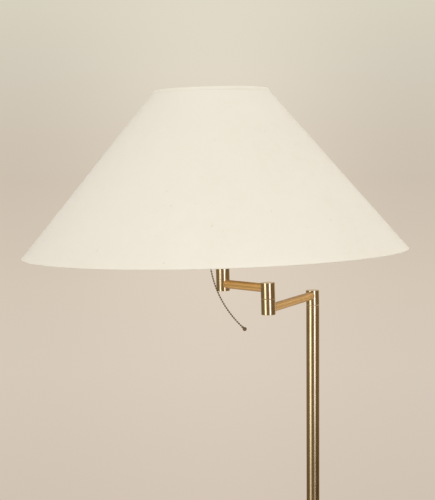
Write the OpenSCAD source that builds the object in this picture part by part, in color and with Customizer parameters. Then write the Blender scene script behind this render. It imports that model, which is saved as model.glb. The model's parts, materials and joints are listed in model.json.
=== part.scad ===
// Swing-arm floor lamp: a weighted round foot, a post, two swinging arms and a cone shade.
// Millimetres, +Z up. The origin is on the floor, under the middle of the post.
// The arms stand as they were left: the lower one towards the viewer, the upper one folded back.

/* [Foot] */
// Diameter of the round foot
foot_d = 254; // [200:1:320]
// Height of the foot's edge above the floor
foot_edge_h = 20; // [18:0.5:28]
// Rise of the domed top from the edge to the post
foot_rise = 12; // [6:0.5:24]
// Width of the flat land round the collar
crown_land = 1; // [0.5:0.5:4]
// Radius of the rounded shoulder of the foot
shoulder_r = 6; // [4:0.5:8]
// Sheet thickness of the spun cover
cover_t = 1.2; // [0.8:0.1:2]
// Thickness of the felt pad
felt_t = 2; // [1:0.5:4]
// Margin from the foot's edge to the felt
felt_margin = 4; // [2:0.5:10]
// Diameter of the nut pocket under the weight
pocket_d = 42; // [40:1:60]
// Depth of the nut pocket under the weight
pocket_h = 12; // [11:0.5:15]
// Bore of the cord gland
gland_bore = 6.6; // [5:0.1:7]
// Wall of the cord gland
gland_wall = 1.2; // [1:0.1:1.6]
// Length of the cord gland inside the foot
gland_len = 12; // [8:0.5:20]
// Width of the gland's outer flange
gland_flange_w = 1.5; // [1:0.1:2]
// Thickness of the gland's outer flange
gland_flange_t = 1.6; // [1:0.1:3]

/* [Post] */
// Height of the post's swivel above the floor
head_h = 1110; // [900:5:1300]
// Diameter of the post
post_d = 18.2; // [16:0.1:22]
// Wall of the post tube
post_wall = 1.2; // [1:0.1:1.6]
// Diameter of the collar's flange on the foot
collar_d = 42; // [38:0.5:60]
// Height of the collar
collar_h = 26; // [22:0.5:40]
// Thickness of the collar's flange
collar_flange_t = 4; // [3:0.5:6]
// Diameter of the bead round the collar's top
collar_bead_d = 2.6; // [2:0.1:3.6]
// Wall of the collar's neck round the post
collar_wall = 2.5; // [2:0.1:4]
// Outside diameter of the threaded pipes
pipe_d = 9.7; // [9:0.1:10.5]
// Length of a threaded pipe past its nut or its seat
pipe_tail = 1; // [0.5:0.1:1.4]
// Wire way through the pipes and the pivots
wire_d = 5; // [4:0.1:6]
// Length of the bush in the post's lower end
foot_bush_len = 30; // [20:1:45]
// Diameter of the washer under the weight
tie_washer_d = 34; // [26:0.5:36]
// Thickness of the washer under the weight
tie_washer_t = 2.5; // [1.5:0.1:3]
// Width across flats of the nut under the weight
tie_nut_af = 17; // [15:0.5:20]
// Thickness of the nut under the weight
tie_nut_t = 6; // [4:0.5:6.5]

/* [Knuckles] */
// Diameter of the knuckles
knuckle_d = 18.2; // [17:0.1:22]
// Height of one knuckle half
knuckle_h = 20.3; // [19:0.1:26]
// Wall of a knuckle
knuckle_wall = 2; // [1.6:0.1:2.4]
// Thickness of a knuckle's floor, which turns on the pivot
knuckle_floor = 3.5; // [3:0.1:4.5]
// Thickness of the flush plug that closes a knuckle
plug_t = 2.4; // [1.6:0.1:2.8]
// Depth of the bevel round a plug
plug_bevel = 0.4; // [0.2:0.1:0.8]
// Diameter of the pivots
pivot_d = 9.5; // [8.5:0.1:10]
// Thickness of the pivots' flanges
pivot_flange_t = 2.5; // [2:0.1:3]
// Length of the pivot's plug in the post
pivot_plug_len = 18; // [12:1:30]
// Thickness of the spring washers
spring_washer_t = 0.8; // [0.5:0.1:1]
// Thickness of the pivots' round nuts
pivot_nut_t = 3; // [2:0.1:3.5]
// Width of the spanner slot across a round nut
nut_slot_w = 1.5; // [1:0.1:2]
// Gap between the elbow's two halves
joint_gap = 0.5; // [0.4:0.05:1]
// Thickness of the friction washer in that gap
friction_washer_t = 0.3; // [0.15:0.05:0.35]
// Diameter of the stop pins
stop_pin_d = 1.6; // [1.2:0.1:1.8]
// Depth of the hole that holds a stop pin
stop_pin_seat = 1.7; // [1.2:0.1:1.9]
// Depth of the stop grooves
stop_groove_h = 1.6; // [1.2:0.1:2]
// Side lean of the swivels, from play in the post's head
lean_side = 1.29; // [0:0.01:3]
// Forward lean of the swivels, from play in the post's head
lean_fore = 0.76; // [0:0.01:3]

/* [Swing arms] */
// Diameter of the arm tubes
arm_d = 11.3; // [8:0.1:12]
// Wall of the arm tubes
arm_wall = 1; // [0.8:0.1:1.5]
// Distance from a knuckle half's outer end to its arm's axis
arm_inset = 7.3; // [7:0.1:9]
// Length of the lower arm between swivel axes
lower_arm_len = 155; // [120:1:220]
// Length of the upper arm from the elbow's axis to the socket's
upper_arm_len = 92; // [75:1:140]
// Direction of the lower arm, anticlockwise from +X
lower_arm_heading = 244.3; // [0:0.1:360]
// Direction of the upper arm, anticlockwise from +X
upper_arm_heading = 127.9; // [0:0.1:360]
// Swing of the lower arm to each side of where it stands
head_swing = 165; // [90:1:165]
// Swing of the upper arm to each side of straight
elbow_swing = 150; // [120:1:160]
// Reach of the end knuckle below the upper arm's axis
end_drop = 9.3; // [8.5:0.1:14]
// Reach of the end knuckle above the upper arm's axis
end_rise = 26; // [20:0.5:40]

/* [Socket] */
// Diameter of the socket's cap
socket_d = 35; // [32:0.5:40]
// Sheet thickness of the socket's cap
socket_cap_t = 0.7; // [0.5:0.05:1]
// Height of the hub under the socket's cap
socket_hub_h = 4; // [3:0.5:6]
// Wall of that hub round the pipe
socket_hub_wall = 3.2; // [2.5:0.1:4]
// Height of the upright rim of the socket's cap
socket_rim_h = 6.5; // [4:0.5:10]
// Length of the socket's shell
shell_len = 48; // [46:0.5:60]
// Sheet thickness of the socket's shell
shell_t = 0.5; // [0.4:0.05:0.8]
// Diameter of the rolled bead at the shell's mouth
shell_bead_d = 1.5; // [1.2:0.1:2]
// Thickness of the insulating sleeve
liner_t = 0.8; // [0.5:0.1:1.2]
// Set-back of the sleeve from the shell's mouth
liner_setback = 2; // [1:0.5:4]
// Height of the moulded switch body
switch_body_h = 25; // [22:0.5:26]
// Diameter of the terminal recess under the switch body
terminal_d = 8; // [6:0.5:12]
// Depth of the terminal recess
terminal_h = 7.5; // [5:0.5:12]
// Width of the wire slot across the switch body's underside
terminal_slot_w = 3.5; // [2:0.5:6]
// Outside diameter of the screw shell
screw_shell_d = 28.2; // [28:0.1:28.6]
// Sheet thickness of the screw shell
screw_shell_t = 0.5; // [0.3:0.05:0.6]
// Depth of the screw shell
screw_shell_h = 21; // [18:0.5:22]
// Diameter of the centre contact
contact_d = 7; // [5:0.5:9]
// Height of the centre contact
contact_h = 2.6; // [2:0.1:4]
// Insulating gap round the centre contact
contact_gap = 1; // [0.5:0.1:2]
// Diameter of the bulb's metal cap
bulb_cap_d = 26.2; // [25.8:0.1:26.4]
// Height of the bulb's metal cap
bulb_cap_h = 24; // [22:0.5:28]
// Sheet thickness of the bulb's metal cap
bulb_cap_t = 0.5; // [0.3:0.1:0.8]
// Height of the contact tip under the bulb's cap
bulb_tip_h = 2; // [1:0.5:3]
// Height of the cone between the tip and the cap's wall
bulb_cone_h = 5; // [3:0.5:8]
// Diameter of the bulb
bulb_d = 60; // [45:1:70]
// Height of the glass above the metal cap
bulb_glass_h = 82; // [75:1:100]
// Thickness of the bulb's glass
bulb_glass_t = 0.8; // [0.5:0.1:1.2]
// Length of the glass neck inside the metal cap
bulb_neck_h = 8; // [5:0.5:12]

/* [Harp] */
// Height from the saddle to the harp's crown
harp_h = 197; // [185:1:240]
// Width across the harp's round top
harp_w = 106; // [90:1:130]
// Diameter of the harp's wire
harp_wire = 3.6; // [3:0.1:4]
// Distance between the saddle's two ears
saddle_span = 54; // [50:1:64]
// Thickness of the saddle
saddle_t = 1.5; // [1.2:0.1:2.5]
// Width of the saddle
saddle_w = 13; // [12:0.5:18]
// Diameter of the saddle's ears
ear_d = 4; // [3.5:0.1:4.5]
// Length of the saddle's ears
ear_len = 12; // [9:0.5:18]
// Wall of the ferrules that lock the harp to the ears
ferrule_wall = 1; // [0.8:0.1:1.5]
// Length of the ferrules
ferrule_len = 15; // [12:0.5:20]
// Lift of the ferrules above the saddle
ferrule_lift = 4; // [3:0.5:6]
// Diameter of the barrel on the harp's crown
eye_d = 11; // [10:0.5:14]
// Height of the barrel on the harp's crown
eye_t = 6.6; // [6:0.1:9]
// Diameter of the threaded stud
stud_d = 6.3; // [5.5:0.1:7]
// Diameter of the stud's shoulder, which carries the shade
stud_shoulder_d = 16; // [14:0.5:18]
// Thickness of the stud's shoulder
stud_shoulder_t = 2; // [1.5:0.1:3]
// Sideways set of the harp's crown, bent with use
harp_set = 9.4; // [0:0.1:14]

/* [Shade] */
// Diameter of the shade at the bottom
shade_bottom_d = 508; // [440:1:560]
// Diameter of the shade at the top
shade_top_d = 150; // [120:1:200]
// Height of the shade
shade_h = 213; // [180:1:260]
// Thickness of the shade's laminate
shade_t = 1; // [0.6:0.1:1.6]
// Thickness of the rolled edges
shade_hem_d = 2.4; // [1.8:0.1:4]
// Diameter of the ring wires and spokes
ring_wire = 3; // [2:0.1:4]
// Drop from the shade's top edge to the fitter's underside
fitter_drop = 27; // [24:0.5:40]
// Diameter of the fitter's washer
fitter_d = 28; // [24:0.5:36]
// Thickness of the fitter's washer
fitter_t = 2; // [1.5:0.1:2.5]
// Count of the fitter's spokes
spokes = 3; // [3:1:4]
// Diameter of the finial's foot
finial_d = 14; // [12:0.5:18]
// Height of the finial
finial_h = 20; // [18:0.5:22]
// Height of the finial's foot
finial_foot_h = 4; // [3:0.5:6]
// Wall of the finial's neck round the stud
finial_wall = 1.5; // [1.2:0.1:2.5]
// Diameter of the finial's ball
finial_ball_d = 10; // [9.8:0.1:12]
// Length of the stud inside the finial
stud_len = 10; // [6:0.5:12]

/* [Pull chain] */
// Distance from the socket's axis to the hanging chain
guide_reach = 24.2; // [23:0.1:30]
// Direction of the chain guide, anticlockwise from +X
guide_heading = 225; // [200:1:250]
// Drop from the switch body's top to the chain guide's axis
guide_inset = 5.2; // [3.5:0.1:8]
// Length of the chain guide inside the switch body
guide_plug_len = 3; // [2:0.5:5]
// Bore of the chain guide
guide_bore = 3.4; // [3.2:0.1:4]
// Wall of the chain guide
guide_wall = 0.7; // [0.5:0.1:1]
// Bend radius of the chain guide
guide_bend_r = 5; // [4.5:0.1:6]
// Length of the guide's upright part, bell mouth included
guide_drop = 14; // [12:0.5:15]
// Length of the bell mouth
bell_h = 4; // [3:0.5:6]
// Diameter of the bell mouth
bell_d = 8.5; // [7:0.5:10]
// Diameter of a chain bead
bead_d = 2.4; // [2:0.1:2.6]
// Distance from bead to bead
bead_pitch = 3.3; // [3:0.1:4]
// Diameter of the link wires between the beads
link_d = 0.9; // [0.6:0.1:1.2]
// Radius of the arc in which the chain hangs
chain_arc_r = 138; // [110:1:180]
// Angle that the chain's arc sweeps
chain_sweep = 46; // [20:1:60]
// Diameter of the pull ball
pull_ball_d = 5.4; // [4.9:0.1:8]
// Wall of the pull ball's neck round the last bead
pull_neck_wall = 0.45; // [0.4:0.05:0.8]

/* [Clearances] */
// Clearance between pieces that are fixed together
seat_clear = 0.05; // [0.03:0.01:0.1]
// Radial clearance of a turning pivot
pivot_clear = 0.05; // [0.02:0.01:0.1]
// Least gap between pieces that swing past each other
run_gap = 0.3; // [0.2:0.05:0.6]
// End play of the knuckles under their spring washers
end_play = 0.1; // [0.05:0.05:0.2]
// Gap between the cast weight and the pieces round it
weight_gap = 0.3; // [0.2:0.05:0.8]

/* [Hidden] */
$fn = 96;
dome_fn = 720;
bead_fn = 24;
cut = 1;

// Foot
foot_r = foot_d / 2;
crown_z = foot_edge_h + foot_rise;
crown_r = collar_d / 2 + crown_land;
dome_z = (crown_r^2 + crown_z^2 - foot_r^2 - foot_edge_h^2) / (2 * foot_rise);
dome_r = norm([foot_r, foot_edge_h - dome_z]);
shoulder_x = foot_r - shoulder_r;
shoulder_z = dome_z + sqrt((dome_r - shoulder_r)^2 - shoulder_x^2);
gland_d = gland_bore + 2 * gland_wall;
gland_flange_d = gland_d + 2 * gland_flange_w;
gland_z = felt_t + gland_flange_d / 2 + seat_clear;
tie_nut_z = felt_t + pocket_h - tie_washer_t - tie_nut_t;
tie_end_z = tie_nut_z - pipe_tail;
tie_len = crown_z + foot_bush_len - pipe_tail - tie_end_z;

// Post
post_bore = post_d - 2 * post_wall;
lean = acos(cos(lean_side) * cos(lean_fore));
head_gap = run_gap + max(post_d, knuckle_d) / 2 * sin(lean);
post_top = head_h - head_gap - pivot_flange_t;
collar_neck_r = post_d / 2 + seat_clear + collar_wall;
collar_cove_r = min(collar_d / 2 - collar_neck_r, collar_h - 2 * collar_flange_t);
head_bore_d = wire_d + 2 * run_gap;

// Knuckles and arms
knuckle_bore = knuckle_d - 2 * knuckle_wall;
arm_z = knuckle_h - arm_inset;
pivot_nut_d = knuckle_bore - 2 * run_gap;
pivot_flange_d = pivot_nut_d;
pivot_rise = knuckle_floor + end_play + spring_washer_t + pivot_nut_t + plug_bevel;
stop_groove_w = stop_pin_d + 2 * run_gap;
stop_r = pivot_d / 2 + pivot_clear + stop_groove_w;
stop_angle = asin((stop_pin_d / 2 + run_gap) / stop_r);
head_pin_angle = 90;
elbow_pin_angle = 90;
elbow_bend = upper_arm_heading - lower_arm_heading;
elbow_swing_min = -elbow_swing - elbow_bend;
elbow_swing_max = elbow_swing - elbow_bend;
upper_arm_z = arm_z + joint_gap + arm_z;

// Socket, heights above the upper arm's axis
saddle_z = end_rise + saddle_t;
socket_hub_r = pipe_d / 2 + seat_clear + socket_hub_wall;
socket_dome_r = socket_d / 2 - socket_hub_r;
shell_z = saddle_z + socket_hub_h + socket_dome_r;
shell_d = socket_d - 2 * (socket_cap_t + seat_clear);
liner_d = shell_d - 2 * (shell_t + seat_clear);
switch_body_d = liner_d - 2 * (liner_t + seat_clear);
screw_shell_z = shell_z + switch_body_h;
contact_hole_d = contact_d + 2 * contact_gap;
bulb_tip_d = contact_d;
bulb_tip_z = screw_shell_z + contact_h + seat_clear;
bulb_cap_top = bulb_tip_z + bulb_tip_h + bulb_cap_h;
bulb_neck_r = bulb_cap_d / 2 - bulb_cap_t - seat_clear;

// Chain guide and chain
guide_d = guide_bore + 2 * guide_wall;
guide_z = screw_shell_z - guide_inset;
bell_z = guide_z - guide_bend_r - guide_drop;
guide_x = guide_reach * cos(guide_heading);
guide_y = guide_reach * sin(guide_heading);
chain_straight = guide_drop - bead_d / 2;
chain_len = chain_straight + chain_arc_r * chain_sweep * PI / 180;
bead_count = floor(chain_len / bead_pitch) + 1;
ball_neck_len = bead_pitch;
ball_neck_bore = bead_d + 2 * run_gap;
ball_neck_d = ball_neck_bore + 2 * pull_neck_wall;

// Harp
harp_r = harp_w / 2;
harp_foot_x = saddle_span / 2;
harp_centre_z = harp_h - harp_r;
harp_foot_span = norm([harp_foot_x, harp_centre_z]);
leg_lean = atan2(harp_centre_z, harp_foot_x) - acos(harp_r / harp_foot_span);
leg_len = sqrt(harp_foot_span^2 - harp_r^2);
harp_lean = asin(harp_set / harp_h);
crown_h = harp_h * cos(harp_lean);
ferrule_bore = max(ear_d, harp_wire) + 2 * run_gap;
seat_z = saddle_z + crown_h + eye_t / 2 + stud_shoulder_t;
harp_sides = 12;
harp_steps = 24;

// Shade, heights above its bottom edge
shade_z = seat_z + seat_clear + fitter_drop - shade_h;
shade_slope = atan2((shade_bottom_d - shade_top_d) / 2, shade_h);
fitter_z = shade_h - fitter_drop;
ring_inset = (shade_t + ring_wire / 2 + seat_clear) / cos(shade_slope);
bottom_ring_z = shade_hem_d / 2 + ring_wire;
top_ring_z = shade_h - shade_hem_d / 2 - ring_wire;
fitter_hole_d = stud_d + 2 * run_gap;
stud_top = fitter_t + stud_len;
finial_neck_r = stud_d / 2 + finial_wall;

// Point on a circle of the given radius
function polar(r, angle) = [r * cos(angle), r * sin(angle)];

// Radius of the shade's outer face at a height above its bottom edge
function shade_r(z) = shade_bottom_d / 2 - z * tan(shade_slope);

// Place of the chain at a distance along it, from the top bead down
function chain_angle(s) = max(0, s - chain_straight) / chain_arc_r * 180 / PI;
function chain_point(s) = [
    guide_x + chain_arc_r * (1 - cos(chain_angle(s))),
    guide_y,
    bell_z + chain_straight - min(s, chain_straight) - chain_arc_r * sin(chain_angle(s))];

// Path of the harp's wire in its own plane: each place is a point and the direction of its outer side
harp_leg_start = ear_len + run_gap;
harp_foot = [harp_foot_x, 0] + harp_leg_start * [sin(leg_lean), cos(leg_lean)];
function harp_angle(i) = (180 + 2 * leg_lean) * i / harp_steps - leg_lean;
harp_path = [
    [harp_foot, -leg_lean],
    for (i = [0 : harp_steps]) [polar(harp_r, harp_angle(i)) + [0, harp_centre_z], harp_angle(i)],
    [[-harp_foot.x, harp_foot.y], 180 + leg_lean]];
function harp_ring(place) = [for (k = [0 : harp_sides - 1])
    let (offset = polar(harp_wire / 2, 360 * k / harp_sides), at = place[0] + polar(offset.x, place[1]))
    [at.x, offset.y, at.y]];

// Frames that the pieces stand in
module at_head() {
    translate([0, 0, head_h])
        rotate([lean_fore, -lean_side, 0])
            children();
}

module at_elbow() {
    at_head()
        translate([each polar(lower_arm_len, lower_arm_heading), arm_z])
            children();
}

module at_end() {
    at_elbow()
        translate([each polar(upper_arm_len, upper_arm_heading), upper_arm_z])
            children();
}

module at_harp() {
    at_end()
        translate([0, 0, saddle_z])
            children();
}

module at_leg(side) {
    at_harp()
        rotate([0, -harp_lean, 0])
            translate([side * harp_foot_x, 0, 0])
                rotate([0, side * leg_lean, 0])
                    children();
}

module at_shade() {
    at_end()
        translate([-harp_set, 0, shade_z])
            children();
}

module at_guide() {
    at_end()
        rotate([0, 0, guide_heading])
            children();
}

// Shared shapes
module tube(outer_d, inner_d, h) {
    difference() {
        cylinder(d = outer_d, h = h);
        translate([0, 0, -cut])
            cylinder(d = inner_d, h = h + 2 * cut);
    }
}

module rod(from, to, d) {
    step = to - from;
    translate(from)
        rotate([0, acos(step.z / norm(step)), atan2(step.y, step.x)])
            cylinder(d = d, h = norm(step));
}

module ring(r, wire) {
    rotate_extrude()
        translate([r, 0])
            circle(d = wire);
}

module foot_outline(inset) {
    dome_edge = shoulder_x * (dome_r - inset) / (dome_r - shoulder_r);
    translate([0, felt_t])
        square([foot_r - inset, shoulder_z - felt_t]);
    translate([shoulder_x, shoulder_z])
        circle(r = shoulder_r - inset);
    intersection() {
        translate([0, felt_t])
            square([dome_edge, crown_z - inset - felt_t]);
        translate([0, dome_z])
            circle(r = dome_r - inset, $fn = dome_fn);
    }
}

module arm_hole(heading) {
    rotate([0, 0, heading])
        rotate([0, 90, 0])
            cylinder(d = arm_d + 2 * seat_clear, h = knuckle_d);
}

module arm_tube(len, heading) {
    rotate([0, 0, heading])
        rotate([0, 90, 0])
            translate([0, 0, knuckle_bore / 2])
                tube(arm_d, arm_d - 2 * arm_wall, len - knuckle_bore);
}

// Knuckle half that turns on a pivot, with the groove for a stop pin under its floor
module turning_knuckle(arm_heading, groove_from, groove_to) {
    difference() {
        cylinder(d = knuckle_d, h = knuckle_h);
        translate([0, 0, knuckle_floor])
            cylinder(d = knuckle_bore, h = knuckle_h);
        translate([0, 0, -cut])
            cylinder(d = pivot_d + 2 * pivot_clear, h = knuckle_floor + 2 * cut);
        translate([0, 0, arm_z])
            arm_hole(arm_heading);
        rotate([0, 0, groove_from])
            rotate_extrude(angle = groove_to - groove_from)
                translate([stop_r - stop_groove_w / 2, -cut])
                    square([stop_groove_w, stop_groove_h + cut]);
    }
}

module knuckle_plug() {
    bevel_d = knuckle_bore - 2 * seat_clear;
    cylinder(d = bevel_d, h = plug_t - plug_bevel);
    translate([0, 0, plug_t - plug_bevel])
        cylinder(d1 = bevel_d, d2 = bevel_d - 2 * plug_bevel, h = plug_bevel);
}

module spring_washer() {
    translate([0, 0, knuckle_floor + end_play])
        tube(pivot_nut_d, pivot_d + 2 * seat_clear, spring_washer_t);
}

module pivot_nut() {
    translate([0, 0, knuckle_floor + end_play + spring_washer_t])
        difference() {
            tube(pivot_nut_d, pivot_d + 2 * seat_clear, pivot_nut_t);
            translate([-pivot_nut_d, -nut_slot_w / 2, pivot_nut_t - nut_slot_w])
                cube([2 * pivot_nut_d, nut_slot_w, pivot_nut_t]);
        }
}

// Foot
module base_felt() {
    color("darkolivegreen")
        cylinder(r = foot_r - felt_margin, h = felt_t);
}

module base_weight() {
    channel_w = gland_d + 2 * weight_gap;
    color("dimgray")
        difference() {
            rotate_extrude()
                foot_outline(cover_t + weight_gap);
            cylinder(d = pipe_d + 2 * seat_clear, h = crown_z);
            cylinder(d = pocket_d, h = felt_t + pocket_h);
            translate([-channel_w / 2, 0, 0])
                cube([channel_w, foot_r, gland_z + channel_w / 2]);
        }
}

module base_cover() {
    color("goldenrod")
        difference() {
            rotate_extrude()
                difference() {
                    foot_outline(0);
                    foot_outline(cover_t);
                }
            cylinder(d = pipe_d + 2 * seat_clear, h = crown_z + cut);
            translate([0, 0, gland_z])
                rotate([-90, 0, 0])
                    cylinder(d = gland_d + 2 * seat_clear, h = foot_r + cut);
        }
}

module cord_gland() {
    color("black")
        translate([0, foot_r, gland_z])
            rotate([-90, 0, 0])
                difference() {
                    union() {
                        translate([0, 0, -gland_len])
                            cylinder(d = gland_d, h = gland_len + gland_flange_t);
                        translate([0, 0, seat_clear])
                            cylinder(d = gland_flange_d, h = gland_flange_t);
                    }
                    translate([0, 0, -gland_len - cut])
                        cylinder(d = gland_bore, h = gland_len + gland_flange_t + 2 * cut);
                }
}

module tie_pipe() {
    color("darkgoldenrod")
        translate([0, 0, tie_end_z])
            tube(pipe_d, wire_d, tie_len);
}

module tie_washer() {
    color("silver")
        translate([0, 0, felt_t + pocket_h - tie_washer_t])
            tube(tie_washer_d, pipe_d + 2 * seat_clear, tie_washer_t);
}

module tie_nut() {
    color("silver")
        translate([0, 0, tie_nut_z])
            difference() {
                cylinder(d = tie_nut_af / cos(30), h = tie_nut_t, $fn = 6);
                translate([0, 0, -cut])
                    cylinder(d = pipe_d + 2 * seat_clear, h = tie_nut_t + 2 * cut);
            }
}

// Post
module collar_outline() {
    square([collar_d / 2, collar_flange_t]);
    square([collar_neck_r, collar_h]);
    translate([collar_neck_r, collar_h - collar_bead_d / 2])
        circle(d = collar_bead_d);
    difference() {
        translate([collar_neck_r, collar_flange_t])
            square(collar_cove_r);
        translate([collar_neck_r + collar_cove_r, collar_flange_t + collar_cove_r])
            circle(r = collar_cove_r);
    }
}

module post_collar() {
    color("goldenrod")
        translate([0, 0, crown_z])
            rotate_extrude()
                difference() {
                    collar_outline();
                    translate([0, -cut])
                        square([post_d / 2 + seat_clear, collar_h + 2 * cut]);
                }
}

module post_foot_bush() {
    color("darkgoldenrod")
        translate([0, 0, crown_z])
            tube(post_bore - 2 * seat_clear, pipe_d + 2 * seat_clear, foot_bush_len);
}

module post_tube() {
    color("goldenrod")
        translate([0, 0, crown_z])
            tube(post_d, post_bore, post_top - crown_z);
}

module head_pivot() {
    color("goldenrod")
        difference() {
            union() {
                translate([0, 0, post_top - pivot_plug_len])
                    cylinder(d = post_bore - 2 * seat_clear, h = pivot_plug_len);
                translate([0, 0, post_top])
                    cylinder(d = post_d, h = pivot_flange_t);
                at_head()
                    translate([0, 0, -head_gap - pivot_flange_t])
                        cylinder(d = pivot_d, h = head_gap + pivot_flange_t + pivot_rise);
            }
            translate([0, 0, post_top - pivot_plug_len - cut])
                cylinder(d = head_bore_d, h = pivot_plug_len + pivot_flange_t);
            at_head()
                translate([0, 0, -head_gap - pivot_flange_t])
                    cylinder(d = wire_d, h = head_gap + pivot_flange_t + pivot_rise + cut);
            translate([each polar(stop_r, head_pin_angle), post_top + pivot_flange_t - stop_pin_seat])
                cylinder(d = stop_pin_d + 2 * seat_clear, h = stop_pin_seat + cut);
        }
}

module head_stop_pin() {
    color("silver")
        translate([each polar(stop_r, head_pin_angle), post_top + pivot_flange_t - stop_pin_seat])
            cylinder(d = stop_pin_d, h = stop_pin_seat + head_gap + stop_groove_h - 2 * run_gap);
}

module head_spring_washer() {
    color("silver")
        at_head()
            spring_washer();
}

module head_nut() {
    color("darkgoldenrod")
        at_head()
            pivot_nut();
}

// Lower arm
module head_knuckle() {
    color("goldenrod")
        at_head()
            turning_knuckle(lower_arm_heading, head_pin_angle - head_swing - stop_angle,
                head_pin_angle + head_swing + stop_angle);
}

module head_plug() {
    color("goldenrod")
        at_head()
            translate([0, 0, knuckle_h - plug_t])
                knuckle_plug();
}

module lower_arm_tube() {
    color("peru")
        at_head()
            translate([0, 0, arm_z])
                arm_tube(lower_arm_len, lower_arm_heading);
}

module elbow_lower_knuckle() {
    color("goldenrod")
        at_elbow()
            difference() {
                translate([0, 0, -arm_inset])
                    cylinder(d = knuckle_d, h = knuckle_h);
                translate([0, 0, -arm_inset - cut])
                    cylinder(d = knuckle_bore, h = knuckle_h - knuckle_floor + cut);
                cylinder(d = pivot_d + 2 * seat_clear, h = knuckle_h);
                arm_hole(lower_arm_heading + 180);
                translate([each polar(stop_r, elbow_pin_angle), arm_z - stop_pin_seat])
                    cylinder(d = stop_pin_d + 2 * seat_clear, h = stop_pin_seat + cut);
            }
}

module elbow_lower_plug() {
    color("goldenrod")
        at_elbow()
            translate([0, 0, plug_t - arm_inset])
                mirror([0, 0, 1])
                    knuckle_plug();
}

module elbow_pivot() {
    stem_z = arm_z - knuckle_floor;
    stem_len = pivot_flange_t + knuckle_floor + joint_gap + pivot_rise;
    color("goldenrod")
        at_elbow()
            difference() {
                union() {
                    translate([0, 0, stem_z - pivot_flange_t])
                        cylinder(d = pivot_flange_d, h = pivot_flange_t);
                    translate([0, 0, stem_z - pivot_flange_t])
                        cylinder(d = pivot_d, h = stem_len);
                }
                translate([0, 0, stem_z - pivot_flange_t - cut])
                    cylinder(d = wire_d, h = stem_len + 2 * cut);
            }
}

module elbow_stop_pin() {
    color("silver")
        at_elbow()
            translate([each polar(stop_r, elbow_pin_angle), arm_z - stop_pin_seat])
                cylinder(d = stop_pin_d, h = stop_pin_seat + joint_gap + stop_groove_h - run_gap);
}

module elbow_friction_washer() {
    color("saddlebrown")
        at_elbow()
            translate([0, 0, arm_z])
                difference() {
                    tube(knuckle_d - 2 * run_gap, pivot_d + 2 * seat_clear, friction_washer_t);
                    translate([each polar(stop_r, elbow_pin_angle), -cut])
                        cylinder(d = stop_pin_d + 2 * seat_clear, h = friction_washer_t + 2 * cut);
                }
}

module elbow_spring_washer() {
    color("silver")
        at_elbow()
            translate([0, 0, arm_z + joint_gap])
                spring_washer();
}

module elbow_nut() {
    color("darkgoldenrod")
        at_elbow()
            translate([0, 0, arm_z + joint_gap])
                pivot_nut();
}

// Upper arm
module elbow_upper_knuckle() {
    color("goldenrod")
        at_elbow()
            translate([0, 0, arm_z + joint_gap])
                turning_knuckle(upper_arm_heading, elbow_pin_angle - elbow_swing_max - stop_angle,
                    elbow_pin_angle - elbow_swing_min + stop_angle);
}

module elbow_upper_plug() {
    color("goldenrod")
        at_elbow()
            translate([0, 0, arm_z + joint_gap + knuckle_h - plug_t])
                knuckle_plug();
}

module upper_arm_tube() {
    color("peru")
        at_elbow()
            translate([0, 0, upper_arm_z])
                arm_tube(upper_arm_len, upper_arm_heading);
}

module end_knuckle() {
    color("goldenrod")
        at_end()
            difference() {
                translate([0, 0, -end_drop])
                    cylinder(d = knuckle_d, h = end_drop + end_rise);
                translate([0, 0, -end_drop - cut])
                    cylinder(d = knuckle_bore, h = cut + end_drop + end_rise - knuckle_floor);
                cylinder(d = pipe_d + 2 * seat_clear, h = end_rise + cut);
                arm_hole(upper_arm_heading + 180);
            }
}

module end_plug() {
    color("goldenrod")
        at_end()
            translate([0, 0, plug_t - end_drop])
                mirror([0, 0, 1])
                    knuckle_plug();
}

// Socket
module socket_pipe() {
    pipe_z = end_rise - knuckle_floor - pipe_tail;
    color("darkgoldenrod")
        at_end()
            translate([0, 0, pipe_z])
                tube(pipe_d, wire_d, saddle_z + socket_hub_h + pipe_tail - pipe_z);
}

module socket_cap_outline(inset) {
    dome_z = socket_hub_h + socket_dome_r;
    square([socket_hub_r - inset, dome_z + socket_rim_h]);
    intersection() {
        translate([socket_hub_r, dome_z])
            circle(r = socket_dome_r - inset);
        square([socket_d / 2 - inset, dome_z]);
    }
    translate([0, dome_z])
        square([socket_d / 2 - inset, socket_rim_h]);
}

module socket_cap() {
    color("goldenrod")
        at_harp()
            rotate_extrude()
                difference() {
                    socket_cap_outline(0);
                    intersection() {
                        socket_cap_outline(socket_cap_t);
                        translate([0, socket_hub_h])
                            square(socket_d);
                    }
                    square([pipe_d / 2 + seat_clear, socket_hub_h + cut]);
                }
}

module guide_hole() {
    translate([0, 0, guide_z])
        rotate([0, 0, guide_heading])
            rotate([0, 90, 0])
                cylinder(d = guide_d + 2 * seat_clear, h = socket_d);
}

module socket_shell() {
    color("goldenrod")
        at_end()
            difference() {
                union() {
                    translate([0, 0, shell_z])
                        tube(shell_d, shell_d - 2 * shell_t, shell_len);
                    translate([0, 0, shell_z + shell_len])
                        ring(shell_d / 2 - shell_t / 2, shell_bead_d);
                }
                guide_hole();
            }
}

module socket_liner() {
    color("tan")
        at_end()
            difference() {
                translate([0, 0, shell_z])
                    tube(liner_d, liner_d - 2 * liner_t, shell_len - liner_setback);
                guide_hole();
            }
}

module switch_body() {
    color("black")
        at_end()
            difference() {
                translate([0, 0, shell_z])
                    cylinder(d = switch_body_d, h = switch_body_h);
                translate([0, 0, shell_z - cut])
                    cylinder(d = terminal_d, h = terminal_h + cut);
                translate([-switch_body_d, -terminal_slot_w / 2, shell_z - cut])
                    cube([2 * switch_body_d, terminal_slot_w, terminal_slot_w + cut]);
                intersection() {
                    guide_hole();
                    difference() {
                        cylinder(d = 2 * switch_body_d, h = 2 * guide_z);
                        cylinder(r = switch_body_d / 2 - guide_plug_len, h = 2 * guide_z);
                    }
                }
            }
}

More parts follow.
